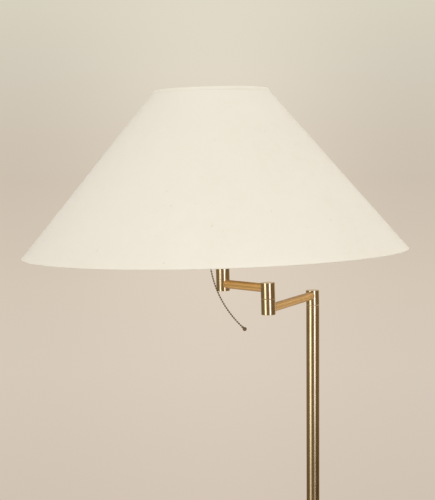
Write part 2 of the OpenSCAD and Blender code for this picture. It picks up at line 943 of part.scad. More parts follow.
module screw_shell() {
    color("goldenrod")
        at_end()
            translate([0, 0, screw_shell_z])
                difference() {
                    cylinder(d = screw_shell_d, h = screw_shell_h);
                    translate([0, 0, screw_shell_t])
                        cylinder(d = screw_shell_d - 2 * screw_shell_t, h = screw_shell_h);
                    translate([0, 0, -cut])
                        cylinder(d = contact_hole_d, h = screw_shell_h);
                }
}

module centre_contact() {
    color("goldenrod")
        at_end()
            translate([0, 0, screw_shell_z])
                cylinder(d1 = contact_d, d2 = contact_d / 2, h = contact_h);
}

module chain_guide() {
    stub_x = switch_body_d / 2 - guide_plug_len + seat_clear;
    bend_x = guide_reach - guide_bend_r;
    color("goldenrod")
        at_guide()
            difference() {
                union() {
                    guide_way(guide_d, stub_x, bend_x);
                    translate([guide_reach, 0, bell_z])
                        cylinder(d1 = bell_d, d2 = guide_d, h = bell_h);
                }
                guide_way(guide_bore, stub_x - cut, bend_x);
                translate([guide_reach, 0, bell_z - cut])
                    cylinder(d = guide_bore, h = guide_drop);
                translate([guide_reach, 0, bell_z - seat_clear])
                    cylinder(d1 = bell_d - 2 * guide_wall, d2 = guide_bore, h = bell_h);
            }
}

module guide_way(d, stub_x, bend_x) {
    translate([stub_x, 0, guide_z])
        rotate([0, 90, 0])
            cylinder(d = d, h = bend_x - stub_x);
    translate([bend_x, 0, guide_z - guide_bend_r])
        rotate([90, 0, 0])
            rotate_extrude(angle = 90)
                translate([guide_bend_r, 0])
                    circle(d = d);
    translate([guide_reach, 0, bell_z])
        cylinder(d = d, h = guide_drop);
}

// Bulb
module bulb_cap_outline(inset) {
    tip_z = bulb_tip_z + bulb_tip_h;
    translate([0, bulb_tip_z + inset])
        square([bulb_tip_d / 2 - inset, bulb_tip_h]);
    polygon([[0, tip_z + inset], [bulb_tip_d / 2 - inset, tip_z + inset],
        [bulb_cap_d / 2 - inset, tip_z + bulb_cone_h + inset], [bulb_cap_d / 2 - inset, bulb_cap_top],
        [0, bulb_cap_top]]);
}

module bulb_cap() {
    color("silver")
        at_end()
            rotate_extrude()
                difference() {
                    bulb_cap_outline(0);
                    bulb_cap_outline(bulb_cap_t);
                }
}

module bulb_outline(inset) {
    ball_r = bulb_d / 2;
    ball_z = bulb_glass_h - ball_r;
    neck_angle = -atan2(ball_z, bulb_neck_r) + acos(ball_r / norm([bulb_neck_r, ball_z]));
    neck_end = polar(ball_r - inset, neck_angle);
    translate([0, ball_z])
        intersection() {
            circle(r = ball_r - inset);
            translate([0, -ball_r])
                square(2 * ball_r);
        }
    polygon([[0, -bulb_neck_h], [bulb_neck_r - inset, -bulb_neck_h], [bulb_neck_r - inset, 0],
        [neck_end.x, ball_z + neck_end.y], [0, ball_z + neck_end.y]]);
}

module bulb_glass() {
    color("ivory")
        at_end()
            translate([0, 0, bulb_cap_top])
                rotate_extrude()
                    difference() {
                        bulb_outline(0);
                        bulb_outline(bulb_glass_t);
                    }
}

// Harp
module harp_saddle() {
    color("darkgoldenrod") {
        at_harp()
            translate([0, 0, -saddle_t])
                difference() {
                    union() {
                        translate([-harp_foot_x, -saddle_w / 2, 0])
                            cube([saddle_span, saddle_w, saddle_t]);
                        for (side = [-1, 1])
                            translate([side * harp_foot_x, 0, 0])
                                cylinder(d = saddle_w, h = saddle_t);
                    }
                    translate([0, 0, -cut])
                        cylinder(d = pipe_d + 2 * seat_clear, h = saddle_t + 2 * cut);
                }
        intersection() {
            for (side = [-1, 1])
                at_leg(side)
                    translate([0, 0, -ear_len])
                        cylinder(d = ear_d, h = 2 * ear_len);
            at_harp()
                translate([-saddle_span, -saddle_w / 2, -saddle_t])
                    cube([2 * saddle_span, saddle_w, 2 * ear_len]);
        }
    }
}

module harp_ferrules() {
    color("goldenrod")
        for (side = [-1, 1])
            at_leg(side)
                translate([0, 0, ferrule_lift])
                    tube(ferrule_bore + 2 * ferrule_wall, ferrule_bore, ferrule_len);
}

module harp_wire_frame() {
    rings = len(harp_path);
    last = (rings - 1) * harp_sides;
    points = [for (place = harp_path) each harp_ring(place)];
    sides = [for (i = [0 : rings - 2], k = [0 : harp_sides - 1])
        let (a = i * harp_sides, next = (k + 1) % harp_sides)
        each [[a + k, a + next, a + harp_sides + k], [a + next, a + harp_sides + next, a + harp_sides + k]]];
    ends = [[for (k = [0 : harp_sides - 1]) harp_sides - 1 - k], [for (k = [0 : harp_sides - 1]) last + k]];
    color("darkgoldenrod")
        at_harp()
            rotate([0, -harp_lean, 0])
                polyhedron(points, concat(sides, ends));
}

// Barrel on the harp's crown, with the stud that carries the shade
module harp_stud() {
    color("goldenrod")
        at_harp()
            difference() {
                translate([-harp_set, 0, crown_h - eye_t / 2]) {
                    cylinder(d = eye_d, h = eye_t);
                    translate([0, 0, eye_t])
                        cylinder(d = stud_shoulder_d, h = stud_shoulder_t);
                    translate([0, 0, eye_t])
                        cylinder(d = stud_d, h = stud_shoulder_t + stud_top);
                }
                rotate([0, -harp_lean, 0])
                    translate([0, 0, harp_centre_z])
                        rotate([90, 0, 0])
                            rotate_extrude(angle = 180)
                                translate([harp_r, 0])
                                    circle(d = harp_wire + 2 * run_gap);
            }
}

// Shade
module shade_cover() {
    wall = shade_t / cos(shade_slope);
    hem_inset = wall / 2;
    color("antiquewhite")
        at_shade()
            rotate_extrude() {
                polygon([[shade_r(0), 0], [shade_r(shade_h), shade_h],
                    [shade_r(shade_h) - wall, shade_h], [shade_r(0) - wall, 0]]);
                for (z = [0, shade_h])
                    translate([shade_r(z) - hem_inset, z])
                        circle(d = shade_hem_d);
            }
}

module shade_top_ring() {
    color("silver")
        at_shade()
            translate([0, 0, top_ring_z])
                ring(shade_r(top_ring_z) - ring_inset, ring_wire);
}

module shade_bottom_ring() {
    color("silver")
        at_shade()
            translate([0, 0, bottom_ring_z])
                ring(shade_r(bottom_ring_z) - ring_inset, ring_wire);
}

module shade_fitter() {
    spoke_end = shade_r(top_ring_z) - ring_inset - ring_wire / 2 - run_gap;
    color("silver")
        at_shade()
            difference() {
                union() {
                    translate([0, 0, fitter_z])
                        cylinder(d = fitter_d, h = fitter_t);
                    for (i = [0 : spokes - 1])
                        rotate([0, 0, 90 + i * 360 / spokes])
                            rod([fitter_d / 2 - ring_wire, 0, fitter_z + fitter_t / 2],
                                [spoke_end, 0, top_ring_z], ring_wire);
                }
                translate([0, 0, fitter_z - ring_wire])
                    cylinder(d = fitter_hole_d, h = fitter_t + 2 * ring_wire);
            }
}

module finial() {
    color("goldenrod")
        at_shade()
            translate([0, 0, fitter_z + fitter_t])
                rotate_extrude()
                    difference() {
                        union() {
                            square([finial_d / 2, finial_foot_h]);
                            square([finial_neck_r, finial_h - finial_ball_d / 2]);
                            translate([0, finial_h - finial_ball_d])
                                intersection() {
                                    translate([0, finial_ball_d / 2])
                                        circle(d = finial_ball_d);
                                    square(finial_ball_d);
                                }
                        }
                        translate([0, -cut])
                            square([stud_d / 2 + seat_clear, stud_len + cut + seat_clear]);
                    }
}

// Pull chain
module pull_chain() {
    color("darkgoldenrod")
        at_end() {
            for (i = [0 : bead_count - 1])
                translate(chain_point(i * bead_pitch))
                    rotate([90, -chain_angle(i * bead_pitch), 0])
                        sphere(d = bead_d, $fn = bead_fn);
            for (i = [1 : bead_count - 1])
                rod(chain_point((i - 1) * bead_pitch), chain_point(i * bead_pitch), link_d);
        }
}

module pull_ball() {
    last = (bead_count - 1) * bead_pitch;
    color("darkgoldenrod")
        at_end()
            translate(chain_point(last))
                rotate([0, 180 - chain_angle(last), 0])
                    difference() {
                        union() {
                            translate([0, 0, -bead_d / 2])
                                cylinder(d = ball_neck_d, h = ball_neck_len);
                            translate([0, 0, bead_d / 2 + pull_ball_d / 2])
                                sphere(d = pull_ball_d);
                        }
                        translate([0, 0, -bead_d / 2 - cut])
                            cylinder(d = ball_neck_bore, h = bead_d + cut + run_gap);
                    }
}

base_felt();
base_weight();
base_cover();
cord_gland();
tie_pipe();
tie_washer();
tie_nut();
post_collar();
post_foot_bush();
post_tube();
head_pivot();
head_stop_pin();
head_spring_washer();
head_nut();
head_knuckle();
head_plug();
lower_arm_tube();
elbow_lower_knuckle();
elbow_lower_plug();
elbow_pivot();
elbow_stop_pin();
elbow_friction_washer();
elbow_spring_washer();
elbow_nut();
elbow_upper_knuckle();
elbow_upper_plug();
upper_arm_tube();
end_knuckle();
end_plug();
socket_pipe();
harp_saddle();
harp_ferrules();
harp_wire_frame();
harp_stud();
socket_cap();
socket_shell();
socket_liner();
switch_body();
screw_shell();
centre_contact();
chain_guide();
bulb_cap();
bulb_glass();
shade_cover();
shade_top_ring();
shade_bottom_ring();
shade_fitter();
finial();
pull_chain();
pull_ball();
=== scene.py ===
import json
from math import acos, asin, atan2, cos, degrees, hypot, pi, radians, sin, sqrt

import bpy
from mathutils import Euler, Matrix, Vector


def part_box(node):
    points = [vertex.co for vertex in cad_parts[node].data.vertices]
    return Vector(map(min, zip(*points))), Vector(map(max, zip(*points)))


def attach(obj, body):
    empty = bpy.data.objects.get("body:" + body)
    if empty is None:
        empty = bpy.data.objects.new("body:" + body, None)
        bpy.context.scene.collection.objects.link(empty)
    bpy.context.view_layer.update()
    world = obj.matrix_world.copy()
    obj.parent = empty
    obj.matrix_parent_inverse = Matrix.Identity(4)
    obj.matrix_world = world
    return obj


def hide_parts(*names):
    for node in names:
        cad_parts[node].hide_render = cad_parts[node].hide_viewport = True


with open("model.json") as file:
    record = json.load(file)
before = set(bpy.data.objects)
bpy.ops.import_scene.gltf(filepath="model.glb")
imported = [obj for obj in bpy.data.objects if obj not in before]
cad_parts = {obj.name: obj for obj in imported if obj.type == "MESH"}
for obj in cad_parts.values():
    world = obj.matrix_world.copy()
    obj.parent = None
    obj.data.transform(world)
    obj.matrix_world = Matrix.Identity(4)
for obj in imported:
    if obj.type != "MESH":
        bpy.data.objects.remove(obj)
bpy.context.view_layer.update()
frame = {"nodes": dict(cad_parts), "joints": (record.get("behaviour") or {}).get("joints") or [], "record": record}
nodes = frame["nodes"]
joints = {joint["name"]: joint for joint in frame["joints"]}
print("frame loaded:", len(nodes), "nodes")

# Places. The arms and the shade lean with the axis of the head's swivel, the rest stands upright
upright = Matrix()
swivelUp = Vector(joints["head_swivel"]["axis"])
leanTurn = Euler((asin(-swivelUp.y), atan2(swivelUp.x, swivelUp.z), 0)).to_matrix().to_4x4()


def middle(nodeName):
    low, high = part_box(nodeName)
    return (low + high) / 2


def span(nodeName):
    low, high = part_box(nodeName)
    return high - low


def leaned(point):
    return Matrix.Translation(point) @ leanTurn


def raised(height):
    return Matrix.Translation((0, 0, height))


def rotated(axis, angle):
    return Matrix.Rotation(angle, 4, axis)


def aimed(start, along):
    return Matrix.Translation(start) @ along.to_track_quat("Z", "Y").to_matrix().to_4x4()


def polar(radius, angle):
    return Vector((radius * cos(radians(angle)), radius * sin(radians(angle))))


# Outlines of turned pieces, as points of radius and height
def block(inner, outer, low, high):
    return [(inner, low), (outer, low), (outer, high), (inner, high)]


def arc(centre, radius, fromDeg, toDeg, count):
    points = []
    for i in range(count + 1):
        turn = fromDeg + (toDeg - fromDeg) * i / count
        points.append(tuple(Vector(centre) + polar(radius, turn)))
    return points


# Modelling helpers: a piece starts from a primitive and is worked on with operators
def startClean():
    if bpy.context.mode != "OBJECT":
        bpy.ops.object.mode_set(mode="OBJECT")
    bpy.ops.object.select_all(action="DESELECT")


def pickOnly(piece):
    startClean()
    piece.select_set(True)
    bpy.context.view_layer.objects.active = piece


def discard(piece):
    pickOnly(piece)
    bpy.ops.object.delete()


def named(name):
    piece = bpy.context.object
    piece.name = name
    piece.data.name = name
    return piece


def bakePlace():
    bpy.ops.object.transform_apply(location=True, rotation=True, scale=True)


def editAll():
    bpy.ops.object.mode_set(mode="EDIT")
    bpy.ops.mesh.select_all(action="SELECT")


def editPicked(piece, kind, wanted):
    bpy.ops.object.mode_set(mode="EDIT")
    bpy.ops.mesh.select_mode(type=kind)
    bpy.ops.mesh.select_all(action="DESELECT")
    bpy.ops.object.mode_set(mode="OBJECT")
    for part in piece.data.edges if kind == "EDGE" else piece.data.vertices:
        part.select = wanted(part)
    bpy.ops.object.mode_set(mode="EDIT")


def extrudeEdges(offset):
    bpy.ops.mesh.extrude_edges_move(TRANSFORM_OT_translate={"value": offset})


def extrudeFaces(offset):
    bpy.ops.mesh.extrude_region_move(TRANSFORM_OT_translate={"value": offset})


def closeMesh(merge=1e-7):
    bpy.ops.mesh.select_all(action="SELECT")
    bpy.ops.mesh.remove_doubles(threshold=merge)
    bpy.ops.mesh.normals_make_consistent(inside=False)
    bpy.ops.object.mode_set(mode="OBJECT")


def drawn(name, path):
    startClean()
    bpy.ops.mesh.primitive_plane_add(size=0.001)
    piece = named(name)
    editAll()
    bpy.ops.mesh.merge(type="CENTER")
    bpy.ops.transform.translate(value=path[0])
    for here, there in zip(path, path[1:]):
        bpy.ops.mesh.extrude_vertices_move(TRANSFORM_OT_translate={"value": there - here})
    return piece


def turned(name, outline, steps=96, closed=False):
    path = [Vector((r, 0, z)) for r, z in outline]
    if closed:
        path.append(path[0])
    piece = drawn(name, path)
    bpy.ops.mesh.select_all(action="SELECT")
    bpy.ops.mesh.spin(steps=steps, angle=2 * pi, center=(0, 0, 0), axis=(0, 0, 1))
    closeMesh()
    return piece


def tubeStart(name, vertices, radius, location, lean):
    startClean()
    bpy.ops.mesh.primitive_circle_add(
        vertices=vertices, radius=radius, fill_type="NOTHING", location=location, rotation=(0, lean, 0))
    piece = named(name)
    bakePlace()
    editAll()
    return piece


def applyModifier(piece, kind, **settings):
    pickOnly(piece)
    modifier = piece.modifiers.new(kind.lower(), kind)
    for key, value in settings.items():
        setattr(modifier, key, value)
    bpy.ops.object.modifier_apply(modifier=modifier.name)
    return piece


def roundEdges(piece, width, sharp=40, segments=3):
    return applyModifier(
        piece, "BEVEL", width=width, segments=segments, limit_method="ANGLE", angle_limit=radians(sharp))


def smoothed(piece, sharp=32):
    pickOnly(piece)
    bpy.ops.object.shade_smooth_by_angle(angle=radians(sharp))
    return piece


def settle(piece, place):
    pickOnly(piece)
    piece.matrix_world = place @ piece.matrix_world
    bakePlace()
    return piece


def copied(piece, name, place):
    pickOnly(piece)
    bpy.ops.object.duplicate(linked=False)
    return settle(named(name), place)


def joined(pieces, name):
    startClean()
    for piece in pieces:
        piece.select_set(True)
    bpy.context.view_layer.objects.active = pieces[0]
    bpy.ops.object.join()
    return named(name)


def dress(piece, body, slot, *stoodFor):
    applyModifier(piece, "WEIGHTED_NORMAL", keep_sharp=True)
    if len(piece.data.materials) == 0:
        piece.data.materials.append(finishes[slot])
    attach(piece, body)
    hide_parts(*stoodFor)
    return piece


def seated(piece, place, body, slot, *stoodFor, smooth=32):
    return dress(settle(smoothed(piece, smooth), place), body, slot, *stoodFor)


# Shader helpers
def plug(tree, made, values):
    for key, value in values.items():
        if isinstance(value, bpy.types.NodeSocket):
            tree.links.new(value, made.inputs[key])
        else:
            made.inputs[key].default_value = value


def addNode(tree, kind, values=None, **settings):
    made = tree.nodes.new("ShaderNode" + kind)
    for key, value in settings.items():
        setattr(made, key, value)
    plug(tree, made, values or {})
    return made


def calc(tree, operation, first, second=0.0, clamp=False):
    return addNode(tree, "Math", {0: first, 1: second}, operation=operation, use_clamp=clamp).outputs[0]


def times(tree, first, second):
    return calc(tree, "MULTIPLY", first, second)


def plus(tree, first, second):
    return calc(tree, "ADD", first, second)


def larger(tree, first, second):
    return calc(tree, "MAXIMUM", first, second)


def vectorCalc(tree, operation, values):
    return addNode(tree, "VectorMath", values, operation=operation).outputs[0]


def remap(tree, value, fromLow, fromHigh, toLow, toHigh, smooth=False):
    kind = "SMOOTHSTEP" if smooth else "LINEAR"
    limits = {"Value": value, "From Min": fromLow, "From Max": fromHigh, "To Min": toLow, "To Max": toHigh}
    return addNode(tree, "MapRange", limits, interpolation_type=kind).outputs["Result"]


def mixColour(tree, share, first, second, blend="MIX"):
    values = {0: share, 6: first, 7: second}
    return addNode(tree, "Mix", values, data_type="RGBA", blend_type=blend).outputs[2]


def noise(tree, vector, scale, detail=3.0, roughness=0.5, distortion=0.0):
    values = {"Vector": vector, "Scale": scale, "Detail": detail, "Roughness": roughness,
              "Distortion": distortion}
    return addNode(tree, "TexNoise", values).outputs[0]


def bump(tree, shader, height, distance, strength=1.0):
    made = addNode(tree, "Bump", {"Height": height, "Distance": distance, "Strength": strength})
    plug(tree, shader, {"Normal": made.outputs[0]})


def newGroup(name, inputs, outputs):
    tree = bpy.data.node_groups.new(name, "ShaderNodeTree")
    for way, sockets in (("INPUT", inputs), ("OUTPUT", outputs)):
        for label, kind in sockets.items():
            tree.interface.new_socket(name=label, in_out=way, socket_type="NodeSocket" + kind)
    return tree, tree.nodes.new("NodeGroupInput").outputs, tree.nodes.new("NodeGroupOutput")


def useGroup(tree, group, values):
    return addNode(tree, "Group", values, node_tree=group).outputs


def newFinish(name, constants):
    finish = bpy.data.materials.new(name)
    finish.use_nodes = True
    tree = finish.node_tree
    shader = tree.nodes["Principled BSDF"]
    plug(tree, shader, constants)
    return finish, tree, shader, addNode(tree, "TexCoord").outputs


# Shared effects
# A noise is given as its scale, where the group has no input for it, detail, roughness and distortion
tarnishSet = {"cloud": (5, 0.6, 0.4), "cloudRange": (0.42, 0.72), "spot": (2, 0.5),
              "spotRange": (0.72, 0.80), "spotShare": 0.8}
polishSet = {"line": (4, 0.65), "lineShare": 0.5, "smear": (55.0, 4, 0.6, 0.6), "smearShare": 0.5,
             "range": (0.35, 0.68)}
weaveSet = {"wobble": (140.0, 2, 0.5), "wobbleReach": 0.0008, "slub": (1.0, 2, 0.5), "slubAlong": 30,
            "slubAcross": 900}
mottleSet = {"broad": (4, 0.55, 0.3), "broadShare": 0.7, "fine": (3, 0.5), "fineScale": 14.0,
             "fineShare": 0.3, "range": (0.36, 0.66)}


def tarnishGroup():
    tree, inputs, output = newGroup(
        "brassTarnish",
        {"Vector": "Vector", "Clean": "Color", "Dull": "Color", "Amount": "Float", "Cloud Scale": "Float",
         "Spot Scale": "Float"},
        {"Color": "Color", "Dullness": "Float"})
    cloud = noise(tree, inputs["Vector"], inputs["Cloud Scale"], *tarnishSet["cloud"])
    cloudMask = remap(tree, cloud, *tarnishSet["cloudRange"], 0, 1, True)
    spot = noise(tree, inputs["Vector"], inputs["Spot Scale"], *tarnishSet["spot"])
    spotMask = remap(tree, spot, *tarnishSet["spotRange"], 0, 1, True)
    both = larger(tree, cloudMask, times(tree, spotMask, tarnishSet["spotShare"]))
    dullness = calc(tree, "MULTIPLY", both, inputs["Amount"], True)
    colour = mixColour(tree, dullness, inputs["Clean"], inputs["Dull"])
    plug(tree, output, {"Color": colour, "Dullness": dullness})
    return tree


def polishGroup():
    tree, inputs, output = newGroup(
        "polishLines",
        {"Vector": "Vector", "Across": "Vector", "Scale": "Float", "Smooth": "Float", "Rough": "Float"},
        {"Height": "Float", "Roughness": "Float"})
    stretched = vectorCalc(tree, "MULTIPLY", {0: inputs["Vector"], 1: inputs["Across"]})
    lines = noise(tree, stretched, inputs["Scale"], *polishSet["line"])
    smear = noise(tree, inputs["Vector"], *polishSet["smear"])
    both = plus(tree, times(tree, lines, polishSet["lineShare"]), times(tree, smear, polishSet["smearShare"]))
    share = remap(tree, both, *polishSet["range"], 0, 1)
    rough = remap(tree, share, 0, 1, inputs["Smooth"], inputs["Rough"])
    plug(tree, output, {"Height": lines, "Roughness": rough})
    return tree


def weaveGroup():
    tree, inputs, output = newGroup("linenWeave", {"Vector": "Vector", "Threads": "Float", "Slub": "Float"},
                                    {"Height": "Float", "Thread": "Float"})
    wobble = times(tree, noise(tree, inputs["Vector"], *weaveSet["wobble"]), weaveSet["wobbleReach"])
    axes = addNode(tree, "SeparateXYZ", {"Vector": inputs["Vector"]}).outputs
    heights = []
    for across in (1, 0):
        scale = [weaveSet["slubAlong"]] * 2 + [1]
        scale[across] = weaveSet["slubAcross"]
        stretched = vectorCalc(tree, "MULTIPLY", {0: inputs["Vector"], 1: scale})
        slub = noise(tree, stretched, *weaveSet["slub"])
        threads = times(tree, plus(tree, axes[across], wobble), inputs["Threads"])
        ridge = remap(tree, calc(tree, "SINE", times(tree, threads, 2 * pi)), -1, 1, 0, 1)
        thick = plus(tree, 1.0, times(tree, calc(tree, "SUBTRACT", slub, 0.5), inputs["Slub"]))
        heights.append(times(tree, ridge, thick))
    plug(tree, output, {"Height": larger(tree, *heights), "Thread": times(tree, plus(tree, *heights), 0.5)})
    return tree


def mottleGroup():
    tree, inputs, output = newGroup(
        "softMottle",
        {"Vector": "Vector", "Colour": "Color", "Aged": "Color", "Scale": "Float", "Amount": "Float"},
        {"Color": "Color"})
    broad = noise(tree, inputs["Vector"], inputs["Scale"], *mottleSet["broad"])
    fineScale = times(tree, inputs["Scale"], mottleSet["fineScale"])
    fine = noise(tree, inputs["Vector"], fineScale, *mottleSet["fine"])
    both = plus(tree, times(tree, broad, mottleSet["broadShare"]), times(tree, fine, mottleSet["fineShare"]))
    mask = times(tree, remap(tree, both, *mottleSet["range"], 0, 1, True), inputs["Amount"])
    plug(tree, output, {"Color": mixColour(tree, mask, inputs["Colour"], inputs["Aged"])})
    return tree


tarnish = tarnishGroup()
polish = polishGroup()
weave = weaveGroup()
mottle = mottleGroup()
print("shared effects built")


def rubbed(tree, where, look):
    return useGroup(tree, polish, {
        "Vector": where["Object"], "Across": look["across"], "Scale": look["lines"],
        "Smooth": look["smooth"], "Rough": look["rough"]})


def mottled(tree, where, colour, look):
    return useGroup(tree, mottle, {
        "Vector": where["Object"], "Colour": colour, "Aged": look["aged"], "Scale": look["patch"],
        "Amount": look["agedShare"]})["Color"]


# Brass finishes. The socket has the plain one
brassLook = {"metal": 1.0, "clean": (0.84, 0.66, 0.33, 1), "dull": (0.48, 0.34, 0.14, 1), "amount": 0.4,
             "cloud": 60.0, "spot": 300.0, "dullRough": 0.12, "across": (0.2, 0.2, 1.0), "lines": 900.0,
             "smooth": 0.16, "rough": 0.28, "depth": 0.000004}
polishedLook = dict(brassLook, clean=(0.86, 0.70, 0.44, 1), dull=(0.50, 0.36, 0.15, 1), amount=0.25,
                    cloud=22.0, spot=240.0, dullRough=0.14, across=(1.0, 1.0, 0.04), smooth=0.10, rough=0.18,
                    depth=0.000002)
# The satin arms carry painted shade: their top and underside are painted darker
satinLook = dict(brassLook, metal=0.65, clean=(0.99, 0.65, 0.26, 1), dull=(0.84, 0.51, 0.18, 1), amount=0.22,
                 cloud=35.0, dullRough=0.10, across=(1.0, 1.0, 1.0), lines=700.0, smooth=0.30, rough=0.42,
                 paintedShade=(0.36, 0.22, 0.09, 1), paintedShadeShare=0.8, paintedShadeRange=(0.3, 1.0))
rawLook = dict(brassLook, clean=(0.66, 0.49, 0.23, 1), dull=(0.36, 0.25, 0.10, 1), amount=0.55, cloud=70.0,
               spot=320.0, lines=1200.0, smooth=0.24, rough=0.40, depth=0.000006)
agedLook = dict(brassLook, metal=0.8, clean=(0.25, 0.19, 0.11, 1), dull=(0.07, 0.055, 0.036, 1), amount=0.8,
                cloud=180.0, spot=700.0, across=(1.0, 1.0, 1.0), lines=1500.0, smooth=0.30, rough=0.48)


def brassFinish(name, look):
    finish, tree, shader, where = newFinish(name, {"Metallic": look["metal"]})
    stain = useGroup(tree, tarnish, {
        "Vector": where["Object"], "Clean": look["clean"], "Dull": look["dull"], "Amount": look["amount"],
        "Cloud Scale": look["cloud"], "Spot Scale": look["spot"]})
    rub = rubbed(tree, where, look)
    rough = calc(tree, "ADD", rub["Roughness"], times(tree, stain["Dullness"], look["dullRough"]), True)
    colour = stain["Color"]
    if "paintedShade" in look:  # painted shade: the top and underside of the tube are painted darker
        facing = addNode(tree, "SeparateXYZ", {"Vector": where["Normal"]}).outputs
        flatness = calc(tree, "ABSOLUTE", facing["Z"])
        share = remap(tree, flatness, *look["paintedShadeRange"], 0.0, look["paintedShadeShare"], True)
        colour = mixColour(tree, share, colour, look["paintedShade"])
    plug(tree, shader, {"Base Color": colour, "Roughness": rough})
    bump(tree, shader, rub["Height"], look["depth"])
    return finish


# Other bright metals
steelLook = {"colour": (0.56, 0.56, 0.57, 1), "aged": (0.33, 0.30, 0.26, 1), "patch": 45.0, "agedShare": 0.45,
             "spangle": 700.0, "spangleShare": 0.16, "across": (1, 1, 1), "lines": 800.0, "smooth": 0.26,
             "rough": 0.42, "depth": 0.000006}
aluminiumLook = {"colour": (0.80, 0.80, 0.79, 1), "aged": (0.50, 0.47, 0.42, 1), "patch": 90.0,
                 "agedShare": 0.4, "across": (0.1, 0.1, 1.0), "lines": 1500.0, "smooth": 0.22, "rough": 0.36,
                 "depth": 0.000006}


def metalFinish(name, look):
    finish, tree, shader, where = newFinish(name, {"Metallic": 1.0})
    colour = look["colour"]
    if "spangle" in look:  # crystals of the zinc coat
        crystals = addNode(tree, "TexVoronoi", {"Vector": where["Object"], "Scale": look["spangle"]})
        colour = mixColour(tree, look["spangleShare"], colour, crystals.outputs["Color"], "OVERLAY")
    rub = rubbed(tree, where, look)
    plug(tree, shader, {"Base Color": mottled(tree, where, colour, look), "Roughness": rub["Roughness"]})
    bump(tree, shader, rub["Height"], look["depth"])
    return finish


# Grainy finishes. A grain is a noise's scale, detail, roughness and distortion
grainRange = (0.3, 0.7)
ironLook = {"shader": {"Metallic": 0.6}, "colour": (0.075, 0.072, 0.070, 1), "aged": (0.16, 0.085, 0.045, 1),
            "patch": 40.0, "agedShare": 0.5, "grain": (900.0, 4, 0.65), "roughness": (0.55, 0.85),
            "depth": 0.0003}
feltLook = {"shader": {"Sheen Weight": 0.5, "Sheen Roughness": 0.6}, "colour": (0.045, 0.075, 0.040, 1),
            "aged": (0.095, 0.12, 0.075, 1), "patch": 60.0, "agedShare": 0.7, "grain": (1400.0, 5, 0.7, 1.2),
            "fibre": (0.15, 0.19, 0.12, 1), "fibreShare": 0.45, "fibreRange": (0.35, 0.7),
            "roughness": (0.85, 1.0), "depth": 0.0004}
# The lining glows faintly: painted light standing in for daylight that comes through the sheet
liningLook = {"shader": {"Emission Strength": 0.17}, "colour": (0.91, 0.87, 0.78, 1),
              "aged": (0.80, 0.71, 0.56, 1), "patch": 8.0, "agedShare": 0.35, "grain": (1100.0, 3, 0.5),
              "roughness": (0.42, 0.6), "depth": 0.00005}
bulbLook = {"shader": {"Coat Weight": 0.7, "Coat Roughness": 0.06}, "colour": (0.90, 0.89, 0.86, 1),
            "aged": (0.80, 0.77, 0.70, 1), "patch": 30.0, "agedShare": 0.35, "grain": (600.0, 3, 0.6),
            "roughness": (0.25, 0.42)}


def grainFinish(name, look):
    finish, tree, shader, where = newFinish(name, look["shader"])
    colour = mottled(tree, where, look["colour"], look)
    grain = noise(tree, where["Object"], *look["grain"])
    if "fibre" in look:  # loose fibres on the pile
        share = remap(tree, grain, *look["fibreRange"], 0.0, look["fibreShare"])
        colour = mixColour(tree, share, colour, look["fibre"])
    rough = remap(tree, grain, *grainRange, *look["roughness"])
    plug(tree, shader, {"Base Color": colour, "Roughness": rough})
    if "Emission Strength" in look["shader"]:  # painted glow: the lining emits its own colour, standing in for daylight that comes through the sheet
        plug(tree, shader, {"Emission Color": colour})
    if "depth" in look:
        bump(tree, shader, grain, look["depth"])
    return finish


# Streaked finishes: a streak's stretch and noise, between two colours
mouldingLook = {"dark": (0.014, 0.012, 0.011, 1), "light": (0.045, 0.036, 0.030, 1), "stretch": (1, 1, 1),
                "streak": (120.0, 4, 0.6, 1.5), "skin": (1500.0, 2, 0.5), "roughness": (0.28, 0.5),
                "depth": 0.00002}
fibreLook = {"dark": (0.24, 0.15, 0.075, 1), "light": (0.44, 0.31, 0.18, 1), "stretch": (300, 300, 1200),
             "streak": (1.0, 4, 0.6), "roughness": (0.65, 0.9), "depth": 0.00005}


def streakFinish(name, look):
    finish, tree, shader, where = newFinish(name, {})
    stretched = vectorCalc(tree, "MULTIPLY", {0: where["Object"], 1: look["stretch"]})
    streak = noise(tree, stretched, *look["streak"])
    plug(tree, shader, {"Base Color": mixColour(tree, streak, look["dark"], look["light"]),
                        "Roughness": remap(tree, streak, *grainRange, *look["roughness"])})
    skin = noise(tree, where["Object"], *look["skin"]) if "skin" in look else streak
    bump(tree, shader, skin, look["depth"])
    return finish


clothLook = {"shader": {"Sheen Weight": 0.3, "Sheen Roughness": 0.4, "Specular IOR Level": 0.15},
             "colour": (0.855, 0.852, 0.80, 1), "aged": (0.80, 0.77, 0.675, 1), "patch": 7.0,
             "agedShare": 0.32, "threads": 1500.0, "slub": 0.7, "threadRange": (0.15, 0.75),
             "threadShare": 0.16, "speck": (0.42, 0.30, 0.16, 1), "speckScale": 32.0, "speckShare": 0.34,
             "speckEdge": (-0.004, 0.03), "size": (21.0, 1, 0.5), "sizeRange": (0.43, 0.72),
             "speckSize": 0.075, "fleck": (170.0, 1, 0.4), "fleckRange": (0.74, 0.80), "fleckShare": 0.12,
             "roughness": (0.92, 0.74), "depth": 0.00007, "bump": 0.6}


